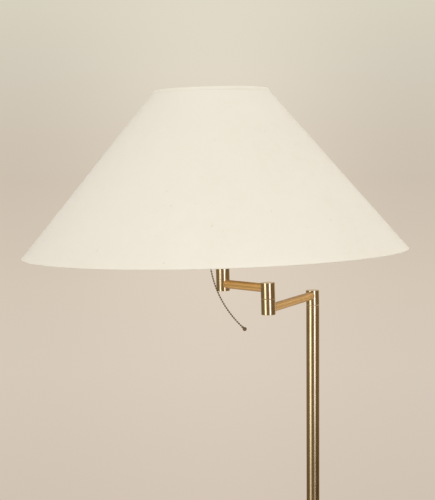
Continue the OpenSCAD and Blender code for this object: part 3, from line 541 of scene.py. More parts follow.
def clothFinish(name, look):
    finish, tree, shader, where = newFinish(name, look["shader"])
    cloth = useGroup(tree, weave, {"Vector": where["UV"], "Threads": look["threads"], "Slub": look["slub"]})
    worn = mottled(tree, where, look["colour"], look)
    gaps = remap(tree, cloth["Thread"], *look["threadRange"], look["threadShare"], 0.0)
    thread = mixColour(tree, gaps, worn, look["aged"])
    dots = addNode(tree, "TexVoronoi", {"Vector": where["Object"], "Scale": look["speckScale"]}).outputs
    size = noise(tree, where["Object"], *look["size"])
    size = remap(tree, size, *look["sizeRange"], 0.0, look["speckSize"])
    speck = remap(tree, calc(tree, "SUBTRACT", size, dots["Distance"]), *look["speckEdge"], 0.0, 1.0, True)
    fleck = noise(tree, where["Object"], *look["fleck"])
    fleck = remap(tree, fleck, *look["fleckRange"], 0.0, look["fleckShare"], True)
    spots = larger(tree, times(tree, speck, look["speckShare"]), fleck)
    plug(tree, shader, {"Base Color": mixColour(tree, spots, thread, look["speck"]),
                        "Roughness": remap(tree, cloth["Height"], 0.0, 1.0, *look["roughness"])})
    bump(tree, shader, cloth["Height"], look["depth"], look["bump"])
    return finish


finishes = {
    "polished_brass": brassFinish("polishedBrass", polishedLook),
    "satin_brass": brassFinish("satinBrass", satinLook),
    "socket_brass": brassFinish("socketBrass", brassLook),
    "raw_brass": brassFinish("turnedBrass", rawLook),
    "aged_brass": brassFinish("darkBrass", agedLook),
    "plated_steel": metalFinish("zincSteel", steelLook),
    "iron": grainFinish("castIron", ironLook),
    "felt": grainFinish("greenFelt", feltLook),
    "shade_laminate": clothFinish("shadeLinen", clothLook),
    "moulding": streakFinish("blackMoulding", mouldingLook),
    "fibre": streakFinish("pressedFibre", fibreLook),
    "bulb_glass": grainFinish("whiteGlass", bulbLook),
    "bulb_metal": metalFinish("bulbAluminium", aluminiumLook),
}
lining = grainFinish("shadeLining", liningLook)
for part in frame["record"]["subparts"]:
    mesh = nodes[part["node"]].data
    mesh.materials.clear()
    mesh.materials.append(finishes[part["material_slot"]])
print("finishes built:", len(bpy.data.materials))

# Post and foot
post = {"wall": 0.0012, "edge": 0.0004}
collar = {"flange": 0.004, "neck": 0.01165, "bead": 0.0013, "edge": 0.0006, "seat": 0.00005}
foot = {"shoulder": 0.006, "edgeHeight": 0.020, "rise": 0.012, "land": 0.022, "sheet": 0.0012, "hole": 0.0049,
        "edge": 0.0004}
felt = {"edge": 0.0007}
gland = {"bore": 0.0033, "barrel": 0.0045, "hole": 0.00465, "flange": 0.006, "flangeSheet": 0.0016,
         "length": 0.012, "lift": 0.00805, "seat": 0.00005, "edge": 0.0005}
footRadius = span("base_cover").x / 2
glandPlace = Matrix.Translation((0, footRadius, gland["lift"])) @ rotated("X", -pi / 2)


def makePost():
    low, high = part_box("post_tube")
    outer = span("post_tube").x / 2
    tube = turned("postTube", block(outer - post["wall"], outer, low.z, high.z), steps=128, closed=True)
    seated(roundEdges(tube, post["edge"]), upright, "stand", "polished_brass", "post_tube")


def makeCollar():
    low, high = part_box("post_collar")
    outer = span("post_collar").x / 2
    inner = span("post_tube").x / 2 + collar["seat"]
    cove = outer - collar["neck"]
    shelf = low.z + collar["flange"]
    outline = [(inner, low.z), (outer, low.z), (outer, shelf)]
    outline += arc((outer, shelf + cove), cove, -90, -180, 16)
    outline += arc((collar["neck"], high.z - collar["bead"]), collar["bead"], -90, 90, 12)
    outline += [(inner, high.z)]
    piece = roundEdges(turned("postCollar", outline, steps=128, closed=True), collar["edge"])
    seated(piece, upright, "stand", "polished_brass", "post_collar")


def footOutline(inset):
    top = foot["edgeHeight"] + foot["rise"]
    domeZ = (foot["land"] ** 2 + top ** 2 - footRadius ** 2 - foot["edgeHeight"] ** 2) / (2 * foot["rise"])
    domeR = hypot(footRadius, foot["edgeHeight"] - domeZ)
    bendX = footRadius - foot["shoulder"]
    bendZ = domeZ + sqrt((domeR - foot["shoulder"]) ** 2 - bendX ** 2)
    domeTurn = degrees(atan2(bendZ - domeZ, bendX))
    landTurn = degrees(acos(foot["land"] / domeR))
    points = arc((bendX, bendZ), foot["shoulder"] - inset, 0, domeTurn, 14)
    points += arc((0, domeZ), domeR - inset, domeTurn, landTurn, 28)[1:]
    return [(footRadius - inset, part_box("base_cover")[0].z)] + points + [(foot["hole"], top - inset)]


def makeFoot():
    outline = footOutline(0.0) + footOutline(foot["sheet"])[::-1]
    cover = roundEdges(turned("footCover", outline, steps=192, closed=True), foot["edge"], sharp=60)
    drill = turned("glandDrill", block(0, gland["hole"], -gland["length"], gland["length"]), steps=64)
    settle(drill, glandPlace)
    applyModifier(cover, "BOOLEAN", operation="DIFFERENCE", object=drill, solver="EXACT")
    discard(drill)
    seated(cover, upright, "stand", "polished_brass", "base_cover")
    size = span("base_felt")
    pad = roundEdges(turned("footFelt", block(0, size.x / 2, 0, size.z), steps=160), felt["edge"], sharp=60)
    seated(pad, upright, "stand", "felt", "base_felt")


# The gland in the hole that makeFoot drills
def makeGland():
    outline = [(gland["bore"], -gland["length"]), (gland["barrel"], -gland["length"]),
               (gland["barrel"], gland["seat"]), (gland["flange"], gland["seat"]),
               (gland["flange"], gland["flangeSheet"]), (gland["bore"], gland["flangeSheet"])]
    piece = roundEdges(turned("cordGland", outline, steps=64, closed=True), gland["edge"])
    seated(piece, glandPlace, "stand", "moulding", "cord_gland")


makePost()
makeCollar()
makeFoot()
print("stand modelled")

# Knuckles and arms
knuckle = {"radius": 0.0091, "bore": 0.0071, "height": 0.0203, "floor": 0.0035, "pivot": 0.0048,
           "edge": 0.0003, "plug": 0.0024, "plugEdge": 0.0004, "plugGap": 0.00005, "armInset": 0.0073,
           "gap": 0.0005}
endPiece = {"drop": 0.0093, "rise": 0.026, "pipe": 0.0049}
arm = {"radius": 0.00565, "wall": 0.001, "edge": 0.0002}
armRise = knuckle["height"] - knuckle["armInset"]
headPlace = leaned(Vector(joints["head_swivel"]["pos_m"]))
elbowPlace = leaned(Vector(joints["elbow_swivel"]["pos_m"]))
endPlace = leaned(middle("end_knuckle") - swivelUp * (endPiece["rise"] - endPiece["drop"]) / 2)


def makeKnuckle(name, node, body, place, height=knuckle["height"], hole=knuckle["pivot"]):
    outline = [(hole, 0), (knuckle["radius"], 0), (knuckle["radius"], height), (knuckle["bore"], height),
               (knuckle["bore"], knuckle["floor"]), (hole, knuckle["floor"])]
    cup = roundEdges(turned(name + "Knuckle", outline, steps=96, closed=True), knuckle["edge"])
    seated(cup, place, body, "polished_brass", node + "_knuckle")
    outline = block(0, knuckle["bore"] - knuckle["plugGap"], height - knuckle["plug"], height)
    plate = roundEdges(turned(name + "Plug", outline, steps=96), knuckle["plugEdge"])
    seated(plate, place, body, "polished_brass", node + "_plug")


def makeKnuckles():
    upsideDown = rotated("X", pi)
    makeKnuckle("head", "head", "lower_arm", headPlace)
    makeKnuckle("elbowLower", "elbow_lower", "lower_arm", elbowPlace @ raised(armRise) @ upsideDown)
    makeKnuckle("elbowUpper", "elbow_upper", "upper_arm", elbowPlace @ raised(armRise + knuckle["gap"]))
    makeKnuckle("end", "end", "upper_arm", endPlace @ raised(endPiece["rise"]) @ upsideDown,
                endPiece["drop"] + endPiece["rise"], endPiece["pipe"])


def makeArm(name, start, end, body, stoodFor):
    along = end - start
    inset = knuckle["bore"]
    outline = block(arm["radius"] - arm["wall"], arm["radius"], inset, along.length - inset)
    tube = roundEdges(turned(name, outline, steps=72, closed=True), arm["edge"])
    seated(tube, aimed(start, along), body, "satin_brass", stoodFor)


def makeArms():
    headEnd = headPlace @ Vector((0, 0, armRise))
    upperStart = elbowPlace @ Vector((0, 0, 2 * armRise + knuckle["gap"]))
    makeArm("lowerArm", headEnd, elbowPlace.translation, "lower_arm", "lower_arm_tube")
    makeArm("upperArm", upperStart, endPlace.translation, "upper_arm", "upper_arm_tube")


makeKnuckles()
makeArms()
print("knuckles and arms modelled")

# Shade
shade = {"bottom": 0.254, "top": 0.075, "height": 0.213, "sheet": 0.001, "ringLift": 0.0042, "sides": 240,
         "rows": 22, "ripple": 0.0006, "rippleScale": 0.09}
tape = {"bottom": 0.008, "top": 0.005, "proud": 0.0002, "roll": 0.0009, "rollSteps": 12, "insideShare": 0.8,
        "edge": 0.0002}
seamStrip = {"turn": 78, "width": 0.011, "cuts": 15, "lift": 0.0003, "sheet": 0.0005, "edge": 0.00015}
shadePlace = leaned(middle("shade_bottom_ring") - swivelUp * shade["ringLift"])
slant = hypot(shade["bottom"] - shade["top"], shade["height"])
slopeUp = Vector((shade["top"] - shade["bottom"], shade["height"])) / slant
slopeOut = Vector((slopeUp.y, -slopeUp.x))


def layFlat(piece):
    apex = shade["bottom"] / (shade["bottom"] - shade["top"]) * slant
    unroll = shade["bottom"] / apex
    back = shadePlace.inverted()
    sheet = piece.data.uv_layers.new(name="flatPattern")
    for face in piece.data.polygons:
        corners = [back @ piece.data.vertices[v].co for v in face.vertices]
        turns = [atan2(c.x, -c.y) for c in corners]
        crossing = max(turns) - min(turns) > pi
        for loop, corner, turn in zip(face.loop_indices, corners, turns):
            if crossing and turn < 0:
                turn += 2 * pi
            reach = apex - corner.z / slopeUp.y
            sheet.data[loop].uv = (reach * sin(turn * unroll), reach * cos(turn * unroll))


def dressSheet(piece, *stoodFor):
    layFlat(piece)
    return dress(piece, "upper_arm", "shade_laminate", *stoodFor)


def makeCover():
    startClean()
    bpy.ops.mesh.primitive_cone_add(
        vertices=shade["sides"], radius1=shade["bottom"], radius2=shade["top"], depth=shade["height"],
        end_fill_type="NOTHING", location=(0, 0, shade["height"] / 2))
    cover = named("shadeCover")
    bakePlace()

    def runsUp(edge):
        low, high = (cover.data.vertices[v].co.z for v in edge.vertices)
        return abs(high - low) > shade["height"] / 2

    editPicked(cover, "EDGE", runsUp)
    bpy.ops.mesh.subdivide(number_cuts=shade["rows"])
    bpy.ops.mesh.select_mode(type="VERT")
    closeMesh()
    cloud = bpy.data.textures.new("shadeRipple", "CLOUDS")
    cloud.noise_scale = shade["rippleScale"]
    applyModifier(cover, "DISPLACE", texture=cloud, strength=shade["ripple"], mid_level=0.5)
    cover.data.materials.append(finishes["shade_laminate"])
    cover.data.materials.append(lining)
    applyModifier(cover, "SOLIDIFY", thickness=shade["sheet"], offset=-1, material_offset=1)
    return dressSheet(settle(smoothed(cover, 50), shadePlace), "shade_cover")


def makeTape(name, edgeAt, inward, width):
    toward = slopeUp * inward
    side = slopeOut * (shade["sheet"] / 2 + tape["proud"])
    wall = Vector(edgeAt) - slopeOut * shade["sheet"] / 2
    outline = [tuple(wall + side + toward * width), tuple(wall + side)]
    for i in range(1, tape["rollSteps"]):
        turn = pi * i / tape["rollSteps"]
        outline.append(tuple(wall + side * cos(turn) - toward * sin(turn) * tape["roll"]))
    outline += [tuple(wall - side), tuple(wall - side + toward * width * tape["insideShare"])]
    piece = roundEdges(turned(name, outline, steps=240, closed=True), tape["edge"], sharp=50)
    dressSheet(settle(smoothed(piece), shadePlace))


def makeSeam(cover):
    startClean()
    bpy.ops.mesh.primitive_plane_add(size=1)
    seam = named("shadeSeam")
    bpy.ops.transform.resize(value=(seamStrip["width"], slant - 2 * tape["bottom"], 1))
    bakePlace()
    editAll()
    bpy.ops.mesh.subdivide(number_cuts=seamStrip["cuts"])
    bpy.ops.object.mode_set(mode="OBJECT")
    halfway = Vector((shade["bottom"], 0)) + slopeUp * slant / 2 + slopeOut * shade["sheet"]
    tilt = rotated("X", -atan2(slopeOut.x, slopeOut.y))
    outward = rotated("Z", radians(seamStrip["turn"] - 90))
    settle(seam, shadePlace @ outward @ Matrix.Translation((0, halfway.x, halfway.y)) @ tilt)
    applyModifier(
        seam, "SHRINKWRAP", target=cover, wrap_method="NEAREST_SURFACEPOINT", wrap_mode="ABOVE_SURFACE",
        offset=seamStrip["lift"])
    applyModifier(seam, "SOLIDIFY", thickness=seamStrip["sheet"], offset=0)
    dressSheet(roundEdges(smoothed(seam, 50), seamStrip["edge"], sharp=50, segments=2))


shadeCover = makeCover()
makeTape("shadeBottomTape", (shade["bottom"], 0.0), 1, tape["bottom"])
makeTape("shadeTopTape", (shade["top"], shade["height"]), -1, tape["top"])
makeSeam(shadeCover)
print("shade modelled")

# Socket, chain guide and bulb, on the end knuckle
socket = {"saddleTop": 0.0275, "capRadius": 0.0175, "capSheet": 0.0007, "hubRadius": 0.0081,
          "hubHeight": 0.004, "hubBore": 0.0049, "rim": 0.0065, "capBeadAt": 0.4, "shellRadius": 0.01675,
          "shellSheet": 0.0005, "shellLength": 0.048, "shellBeadsAt": (0.33, 0.42, 0.80),
          "mouthBead": 0.00075, "pressedBead": 0.0005, "edge": 0.00015}
guide = {"outer": 0.0024, "wall": 0.0007, "reach": 0.0242, "bend": 0.005, "height": 0.0607, "drop": 0.014,
         "bellRadius": 0.00425, "bellHeight": 0.004, "bellSteps": 6, "heading": 225, "start": 0.0135,
         "edge": 0.0002}
bulb = {"ball": 0.030, "ballRise": 0.052, "neck": 0.01255, "neckDrop": 0.008, "neckRise": 0.0015,
        "base": 0.09455, "capRadius": 0.0131, "rim": 0.0012, "rimSlope": 0.0025, "thread": 0.0009,
        "threadDrop": 0.003, "threadPoints": 10, "pitch": 0.0036, "turns": 4, "tipRadius": 0.0035,
        "tipZ": 0.06855, "tipHeight": 0.002, "cone": 0.005, "edge": 0.0003}
harpPlace = endPlace @ raised(socket["saddleTop"])


def makeSocket():
    dome = socket["capRadius"] - socket["hubRadius"]
    domeZ = socket["hubHeight"] + dome
    rimZ = domeZ + socket["rim"]
    beadZ = domeZ + socket["rim"] * socket["capBeadAt"]
    outline = [(socket["hubBore"], 0), (socket["hubRadius"], 0)]
    outline += arc((socket["hubRadius"], domeZ), dome, -90, 0, 16)
    outline += arc((socket["capRadius"], beadZ), socket["pressedBead"], -90, 90, 8)
    outline += [(socket["capRadius"], rimZ), (socket["capRadius"] - socket["capSheet"], rimZ)]
    outline += arc((socket["hubRadius"], domeZ), dome - socket["capSheet"], 0, -90, 16)
    outline += [(socket["hubBore"], socket["hubHeight"] + socket["capSheet"])]
    cap = roundEdges(turned("socketCap", outline, steps=96, closed=True), socket["edge"], sharp=60)
    seated(cap, harpPlace, "upper_arm", "socket_brass", "socket_cap")
    low = socket["saddleTop"] + domeZ
    high = low + socket["shellLength"]
    radius = socket["shellRadius"]
    outline = [(radius - socket["shellSheet"], low), (radius, low)]
    for share in socket["shellBeadsAt"]:
        outline += arc((radius, low + share * socket["shellLength"]), socket["pressedBead"], -90, 90, 8)
    outline += arc((radius - socket["shellSheet"] / 2, high), socket["mouthBead"], -60, 240, 16)
    shell = turned("socketShell", outline, steps=96, closed=True)
    seated(shell, endPlace, "upper_arm", "socket_brass", "socket_shell")


def makeGuide():
    piece = tubeStart("chainGuide", 32, guide["outer"], (guide["start"], 0, guide["height"]), pi / 2)
    bendX = guide["reach"] - guide["bend"]
    bendZ = guide["height"] - guide["bend"]
    straight = guide["drop"] - guide["bellHeight"]
    extrudeEdges((bendX - guide["start"], 0, 0))
    bpy.ops.mesh.spin(steps=12, angle=pi / 2, center=(bendX, 0, bendZ), axis=(0, -1, 0))
    extrudeEdges((0, 0, -straight))
    step = guide["bellHeight"] / guide["bellSteps"]
    radius = guide["outer"]
    for i in range(1, guide["bellSteps"] + 1):
        opening = 1 - cos(pi / 2 * i / guide["bellSteps"])
        flare = guide["outer"] + (guide["bellRadius"] - guide["outer"]) * opening
        extrudeEdges((0, 0, -step))
        centre = (guide["reach"], 0, bendZ - straight - step * i)
        bpy.ops.transform.resize(value=(flare / radius, flare / radius, 1), center_override=centre)
        radius = flare
    closeMesh()
    applyModifier(piece, "SOLIDIFY", thickness=guide["wall"], offset=-1)
    roundEdges(piece, guide["edge"], sharp=50)
    place = endPlace @ rotated("Z", radians(guide["heading"]))
    seated(piece, place, "upper_arm", "socket_brass", "chain_guide")


def makeThread(name, root):
    path = []
    for i in range(bulb["threadPoints"] + 1):
        share = i / bulb["threadPoints"]
        ridge = bulb["thread"] * (1 - cos(2 * pi * share)) / 2
        path.append(Vector((root + ridge, 0, bulb["pitch"] * share)))
    piece = drawn(name, path)
    bpy.ops.object.mode_set(mode="OBJECT")
    return applyModifier(
        piece, "SCREW", axis="Z", angle=2 * pi, screw_offset=bulb["pitch"], iterations=bulb["turns"] - 1,
        steps=48, render_steps=48, use_merge_vertices=True, merge_threshold=1e-6)


def makeBulb():
    away = hypot(bulb["neck"], bulb["ballRise"])
    meet = degrees(acos(bulb["ball"] / away) - atan2(bulb["ballRise"], bulb["neck"]))
    outline = [(0, -bulb["neckDrop"]), (bulb["neck"], -bulb["neckDrop"]), (bulb["neck"], bulb["neckRise"])]
    outline += arc((0, bulb["ballRise"]), bulb["ball"], meet, 90, 32)
    glass = turned("bulbGlass", outline, steps=96)
    seated(glass, endPlace @ raised(bulb["base"]), "upper_arm", "bulb_glass", "bulb_glass", smooth=50)
    coneZ = bulb["tipZ"] + bulb["tipHeight"]
    root = bulb["capRadius"] - bulb["thread"]
    outline = [(0, bulb["tipZ"]), (bulb["tipRadius"], bulb["tipZ"]), (bulb["tipRadius"], coneZ),
               (root, coneZ + bulb["cone"]), (root, bulb["base"] - bulb["rimSlope"]),
               (bulb["capRadius"], bulb["base"] - bulb["rim"]), (bulb["capRadius"], bulb["base"]),
               (0, bulb["base"])]
    cap = roundEdges(turned("bulbCap", outline, steps=72), bulb["edge"])
    thread = makeThread("bulbThread", root)
    settle(thread, raised(bulb["base"] - bulb["threadDrop"] - bulb["pitch"] * bulb["turns"]))
    seated(joined([cap, thread], "bulbCap"), endPlace, "upper_arm", "bulb_metal", "bulb_cap")


makeSocket()
makeGuide()
makeBulb()
print("socket and bulb modelled")

# Harp and the shade's wire frame
harp = {"radius": 0.053, "centre": 0.144, "wire": 0.0018, "footX": 0.027, "legStart": 0.0123, "set": 0.0094,
        "height": 0.197, "saddleWidth": 0.013, "saddleSheet": 0.0015, "ear": 0.002, "earLength": 0.012,
        "earRoot": 0.0005, "earEdge": 0.0004, "edge": 0.0003}
ferrule = {"bore": 0.0023, "outer": 0.0033, "lift": 0.004, "length": 0.015, "bead": 0.0004,
           "beadLift": 0.0014, "edge": 0.0002}
stud = {"barrel": 0.0055, "barrelHeight": 0.0066, "shoulder": 0.008, "shoulderSheet": 0.002, "rod": 0.00315,
        "rise": 0.012, "edge": 0.0004}
wireFrame = {"wire": 0.0015, "inset": 0.003331, "topZ": 0.2088, "fitterZ": 0.186, "fitter": 0.014,
             "fitterSheet": 0.002, "fitterEdge": 0.0005, "hole": 0.00345, "spokes": 3, "spokeTurn": 90,
             "spokeGap": 0.0003, "spokeEdge": 0.0004}
finialSet = {"foot": 0.007, "rim": 0.0006, "neck": 0.0040, "step": 0.0022, "stepRise": 0.0005, "bead": 0.0007,
             "beadZ": 0.0088, "ball": 0.005, "ballNeck": 0.8, "height": 0.020, "edge": 0.0003}
footSpan = hypot(harp["footX"], harp["centre"])
legLean = atan2(harp["centre"], harp["footX"]) - acos(harp["radius"] / footSpan)
legLength = sqrt(footSpan ** 2 - harp["radius"] ** 2)
harpLean = asin(harp["set"] / harp["height"])
bowPlace = harpPlace @ rotated("Y", -harpLean)


def legPlace(side):
    return bowPlace @ Matrix.Translation((side * harp["footX"], 0, 0)) @ rotated("Y", side * legLean)


def makeBow():
    up = Vector((sin(legLean), 0, cos(legLean)))
    start = Vector((harp["footX"], 0, 0)) + up * harp["legStart"]
    run = legLength - harp["legStart"]
    bow = tubeStart("harpBow", 20, harp["wire"], start, legLean)
    extrudeEdges(up * run)
    bpy.ops.mesh.spin(steps=64, angle=pi + 2 * legLean, center=(0, 0, harp["centre"]), axis=(0, 1, 0))
    extrudeEdges(Vector((up.x, 0, -up.z)) * run)
    bpy.ops.mesh.select_all(action="SELECT")
    bpy.ops.mesh.fill_holes(sides=0)
    closeMesh()
    seated(roundEdges(bow, harp["edge"], sharp=60), bowPlace, "upper_arm", "raw_brass", "harp_wire_frame")


def makeSaddle():
    startClean()
    bpy.ops.mesh.primitive_circle_add(
        vertices=64, radius=harp["saddleWidth"] / 2, fill_type="NGON", location=(0, 0, -harp["saddleSheet"]))
    saddle = named("harpSaddle")
    bakePlace()
    for side in (-1, 1):
        editPicked(saddle, "VERT", lambda vertex: vertex.co.x * side > 1e-6)
        bpy.ops.transform.translate(value=(side * harp["footX"], 0, 0))
    bpy.ops.mesh.select_all(action="SELECT")
    extrudeFaces((0, 0, harp["saddleSheet"]))
    closeMesh()
    settle(roundEdges(saddle, harp["edge"], sharp=50), harpPlace)
    ear = turned("harpEar", block(0, harp["ear"], -harp["earRoot"], harp["earLength"]), steps=32)
    roundEdges(ear, harp["earEdge"])
    ears = [copied(ear, "harpEarLeft", legPlace(-1)), settle(ear, legPlace(1))]
    seated(joined([saddle] + ears, "harpSaddle"), upright, "upper_arm", "raw_brass", "harp_saddle")


def makeFerrules():
    low = ferrule["lift"]
    high = low + ferrule["length"]
    outline = [(ferrule["bore"], low), (ferrule["outer"], low)]
    outline += arc((ferrule["outer"], low + ferrule["beadLift"]), ferrule["bead"], -90, 90, 6)
    outline += [(ferrule["outer"], high), (ferrule["bore"], high)]
    sleeve = roundEdges(turned("harpFerrule", outline, steps=48, closed=True), ferrule["edge"], sharp=60)
    twin = copied(sleeve, "harpFerruleLeft", legPlace(-1))
    pair = joined([settle(sleeve, legPlace(1)), twin], "harpFerrules")
    seated(pair, upright, "upper_arm", "socket_brass", "harp_ferrules")


def makeStud():
    base = harp["height"] * cos(harpLean) - stud["barrelHeight"] / 2
    top = base + stud["barrelHeight"]
    shelf = top + stud["shoulderSheet"]
    tip = shelf + stud["rise"]
    outline = [(0, base), (stud["barrel"], base), (stud["barrel"], top), (stud["shoulder"], top),
               (stud["shoulder"], shelf), (stud["rod"], shelf), (stud["rod"], tip), (0, tip)]
    piece = roundEdges(turned("harpStud", outline, steps=72), stud["edge"])
    place = harpPlace @ Matrix.Translation((-harp["set"], 0, 0))
    seated(piece, place, "upper_arm", "socket_brass", "harp_stud")


def ringRadius(z):
    slope = (shade["bottom"] - shade["top"]) / shade["height"]
    return shade["bottom"] - z * slope - wireFrame["inset"]


def makeRing(name, z, stoodFor):
    startClean()
    bpy.ops.mesh.primitive_torus_add(
        major_segments=240, minor_segments=14, major_radius=ringRadius(z), minor_radius=wireFrame["wire"],
        location=(0, 0, z))
    seated(named(name), shadePlace, "upper_arm", "plated_steel", stoodFor, smooth=60)


def makeFitter():
    low = wireFrame["fitterZ"]
    high = low + wireFrame["fitterSheet"]
    radius = wireFrame["wire"]
    outline = block(wireFrame["hole"], wireFrame["fitter"], low, high)
    plate = roundEdges(turned("shadeFitter", outline, steps=72, closed=True), wireFrame["fitterEdge"])
    start = Vector((wireFrame["fitter"] - 2 * radius, 0, (low + high) / 2))
    end = Vector((ringRadius(wireFrame["topZ"]) - radius - wireFrame["spokeGap"], 0, wireFrame["topZ"]))
    along = end - start
    spoke = turned("fitterSpoke", block(0, radius, 0, along.length), steps=20)
    settle(roundEdges(spoke, wireFrame["spokeEdge"]), aimed(start, along))
    pieces = [plate]
    for i in range(wireFrame["spokes"]):
        turn = radians(wireFrame["spokeTurn"] + 360 * i / wireFrame["spokes"])
        pieces.append(copied(spoke, "fitterSpoke" + str(i), rotated("Z", turn)))
    discard(spoke)
    seated(joined(pieces, "shadeFitter"), shadePlace, "upper_arm", "plated_steel", "shade_fitter")


def makeFinial():
    base = wireFrame["fitterZ"] + wireFrame["fitterSheet"]
    flange = finialSet["foot"]
    neck = finialSet["neck"]
    ball = finialSet["ball"]
    cove = flange - neck - finialSet["rim"]
    shelf = finialSet["step"] + finialSet["stepRise"]
    under = degrees(acos(neck * finialSet["ballNeck"] / ball))
    outline = [(0, 0), (flange, 0), (flange, finialSet["step"]), (neck + cove, shelf)]
    outline += arc((neck + cove, shelf + cove), cove, -90, -180, 12)[1:]
    outline += arc((neck, finialSet["beadZ"]), finialSet["bead"], -90, 90, 8)
    outline += arc((0, finialSet["height"] - ball), ball, -under, 90, 24)
    piece = roundEdges(turned("shadeFinial", outline, steps=72), finialSet["edge"], sharp=60)
    seated(piece, shadePlace @ raised(base), "upper_arm", "polished_brass", "finial")


makeBow()
makeSaddle()
makeFerrules()
makeStud()
makeRing("shadeTopRing", wireFrame["topZ"], "shade_top_ring")
makeRing("shadeBottomRing", shade["ringLift"], "shade_bottom_ring")
makeFitter()
makeFinial()
print("harp and wire frame modelled")

# Pull chain
chain = {"beads": 38, "pitch": 0.0033, "bead": 0.0012, "dimple": 0.93, "dimpleRim": 0.00008,
         "dimpleDepth": 0.0002, "link": 0.00042, "linkFrom": 0.8, "straight": 0.0128, "arc": 0.138}
pull = {"ball": 0.0027, "rise": 0.0039, "neck": 0.0013, "flare": 1.15, "neckHeight": 0.0006, "edge": 0.0001}


def chainPlace(run):
    turn = max(0.0, run - chain["straight"]) / chain["arc"]
    start = polar(guide["reach"], guide["heading"])
    bellZ = guide["height"] - guide["bend"] - guide["drop"]
    spot = Vector((start.x + chain["arc"] * (1 - cos(turn)), start.y,
                   bellZ + chain["straight"] - min(run, chain["straight"]) - chain["arc"] * sin(turn)))
    return endPlace @ Matrix.Translation(spot) @ rotated("Y", pi - turn)


def makeChain():
    startClean()
    bpy.ops.mesh.primitive_uv_sphere_add(segments=18, ring_count=12, radius=chain["bead"])
    bead = named("chainBead")
    bpy.ops.object.mode_set(mode="EDIT")
    for side in (-1, 1):
        bpy.ops.mesh.select_all(action="SELECT")
        cut = (0, 0, side * chain["bead"] * chain["dimple"])
        bpy.ops.mesh.bisect(plane_co=cut, plane_no=(0, 0, side), use_fill=True, clear_outer=True)
        bpy.ops.mesh.inset(thickness=chain["dimpleRim"])
        extrudeFaces((0, 0, -side * chain["dimpleDepth"]))
    closeMesh(1e-8)
    low = chain["bead"] * chain["linkFrom"]
    link = turned("chainLink", block(0, chain["link"], low, chain["pitch"] - low), steps=10)
    unit = smoothed(joined([bead, link], "chainUnit"), 40)
    pieces = []
    for i in range(chain["beads"]):
        pieces.append(copied(unit, "chainUnit" + str(i), chainPlace(i * chain["pitch"])))
    discard(unit)
    dress(joined(pieces, "pullChain"), "pull", "aged_brass", "pull_chain")


def makePull():
    low = -chain["bead"]
    meet = -degrees(acos(pull["neck"] / pull["ball"]))
    outline = [(0, low), (pull["neck"], low), (pull["neck"] * pull["flare"], low + pull["neckHeight"])]
    outline += arc((0, pull["rise"]), pull["ball"], meet, 90, 24)
    ball = roundEdges(turned("pullBall", outline, steps=48), pull["edge"], sharp=70)
    seated(ball, chainPlace((chain["beads"] - 1) * chain["pitch"]), "pull", "aged_brass", "pull_ball")


makeChain()
makePull()
makeGland()
print("pull chain and gland modelled")

# Camera at the photograph's place
cameraSet = {"place": (-0.1318, -1.700, 1.2904), "pitch": 3.492, "roll": -0.351, "focalPixels": 1230.4,
             "imageHeight": 500, "sensor": 36.0, "near": 0.05, "far": 60}


def makeCamera():
    data = bpy.data.cameras.new("photoCamera")
    data.sensor_width = cameraSet["sensor"]
    data.lens = cameraSet["focalPixels"] / cameraSet["imageHeight"] * cameraSet["sensor"]
    data.clip_start = cameraSet["near"]
    data.clip_end = cameraSet["far"]
    camera = bpy.data.objects.new("photoCamera", data)
    bpy.context.scene.collection.objects.link(camera)
    tilt = rotated("X", radians(90 - cameraSet["pitch"]))
    roll = rotated("Z", radians(cameraSet["roll"]))
    camera.matrix_world = Matrix.Translation(cameraSet["place"]) @ tilt @ roll
    bpy.context.scene.camera = camera


# Studio light in degrees around the lamp and above the horizon: two tall soft boxes, dim sides and a warm
# wall that only the brass mirrors
studio = {"left": {"turn": -47.0, "half": 10.0, "power": 1.55, "fade": (-13.2, -9.2), "least": 0.36,
                   "mirrored": (1.0, 1.0, 1.0, 1)},
          "right": {"turn": 30.0, "half": 7.5, "power": 1.6, "fade": (-13.0, -8.6), "least": 0.12,
                    "mirrored": (1.02, 1.07, 1.42, 1)},
          "boxEdge": 8.0, "boxTop": (44, 58), "boxColour": (1.0, 1.0, 1.0, 1), "climb": (-16, -8),
          "dim": (0.20, 0.155, 0.105, 1), "low": (0.12, 0.088, 0.047, 1), "rightFrom": (38, 55),
          "dimRight": (0.185, 0.130, 0.077, 1), "lowRight": (0.067, 0.040, 0.015, 1),
          "behindFrom": (138, 168), "behind": (0.42, 0.35, 0.27, 1), "overheadFrom": (38, 62),
          "overhead": (0.62, 0.58, 0.52, 1), "wallAbove": (5, 14), "wallBelow": (-26, -17),
          "wallRight": (122, 140), "wall": (0.62, 0.53, 0.45, 1)}
# The backdrop that the camera sees, with painted light and shade: its colour by height, and as the fourth value
# its painted darkening to the sides
backdrop = {"from": -18, "to": 14, "sideReach": 0.17,
            "stops": [(-16, (0.655, 0.560, 0.465, 0.04)), (-12.7, (0.679, 0.584, 0.491, 0.04)),
                      (-9, (0.708, 0.617, 0.521, 0.05)), (-5.3, (0.730, 0.631, 0.518, 0.085)),
                      (-0.2, (0.715, 0.620, 0.510, 0.15)), (4.8, (0.755, 0.690, 0.575, 0.15)),
                      (7.5, (0.745, 0.694, 0.571, 0.09)), (12, (0.745, 0.690, 0.570, 0.06))]}


def between(tree, angle, limits, toLow=0.0, toHigh=1.0):
    return remap(tree, angle, radians(limits[0]), radians(limits[1]), toLow, toHigh, True)


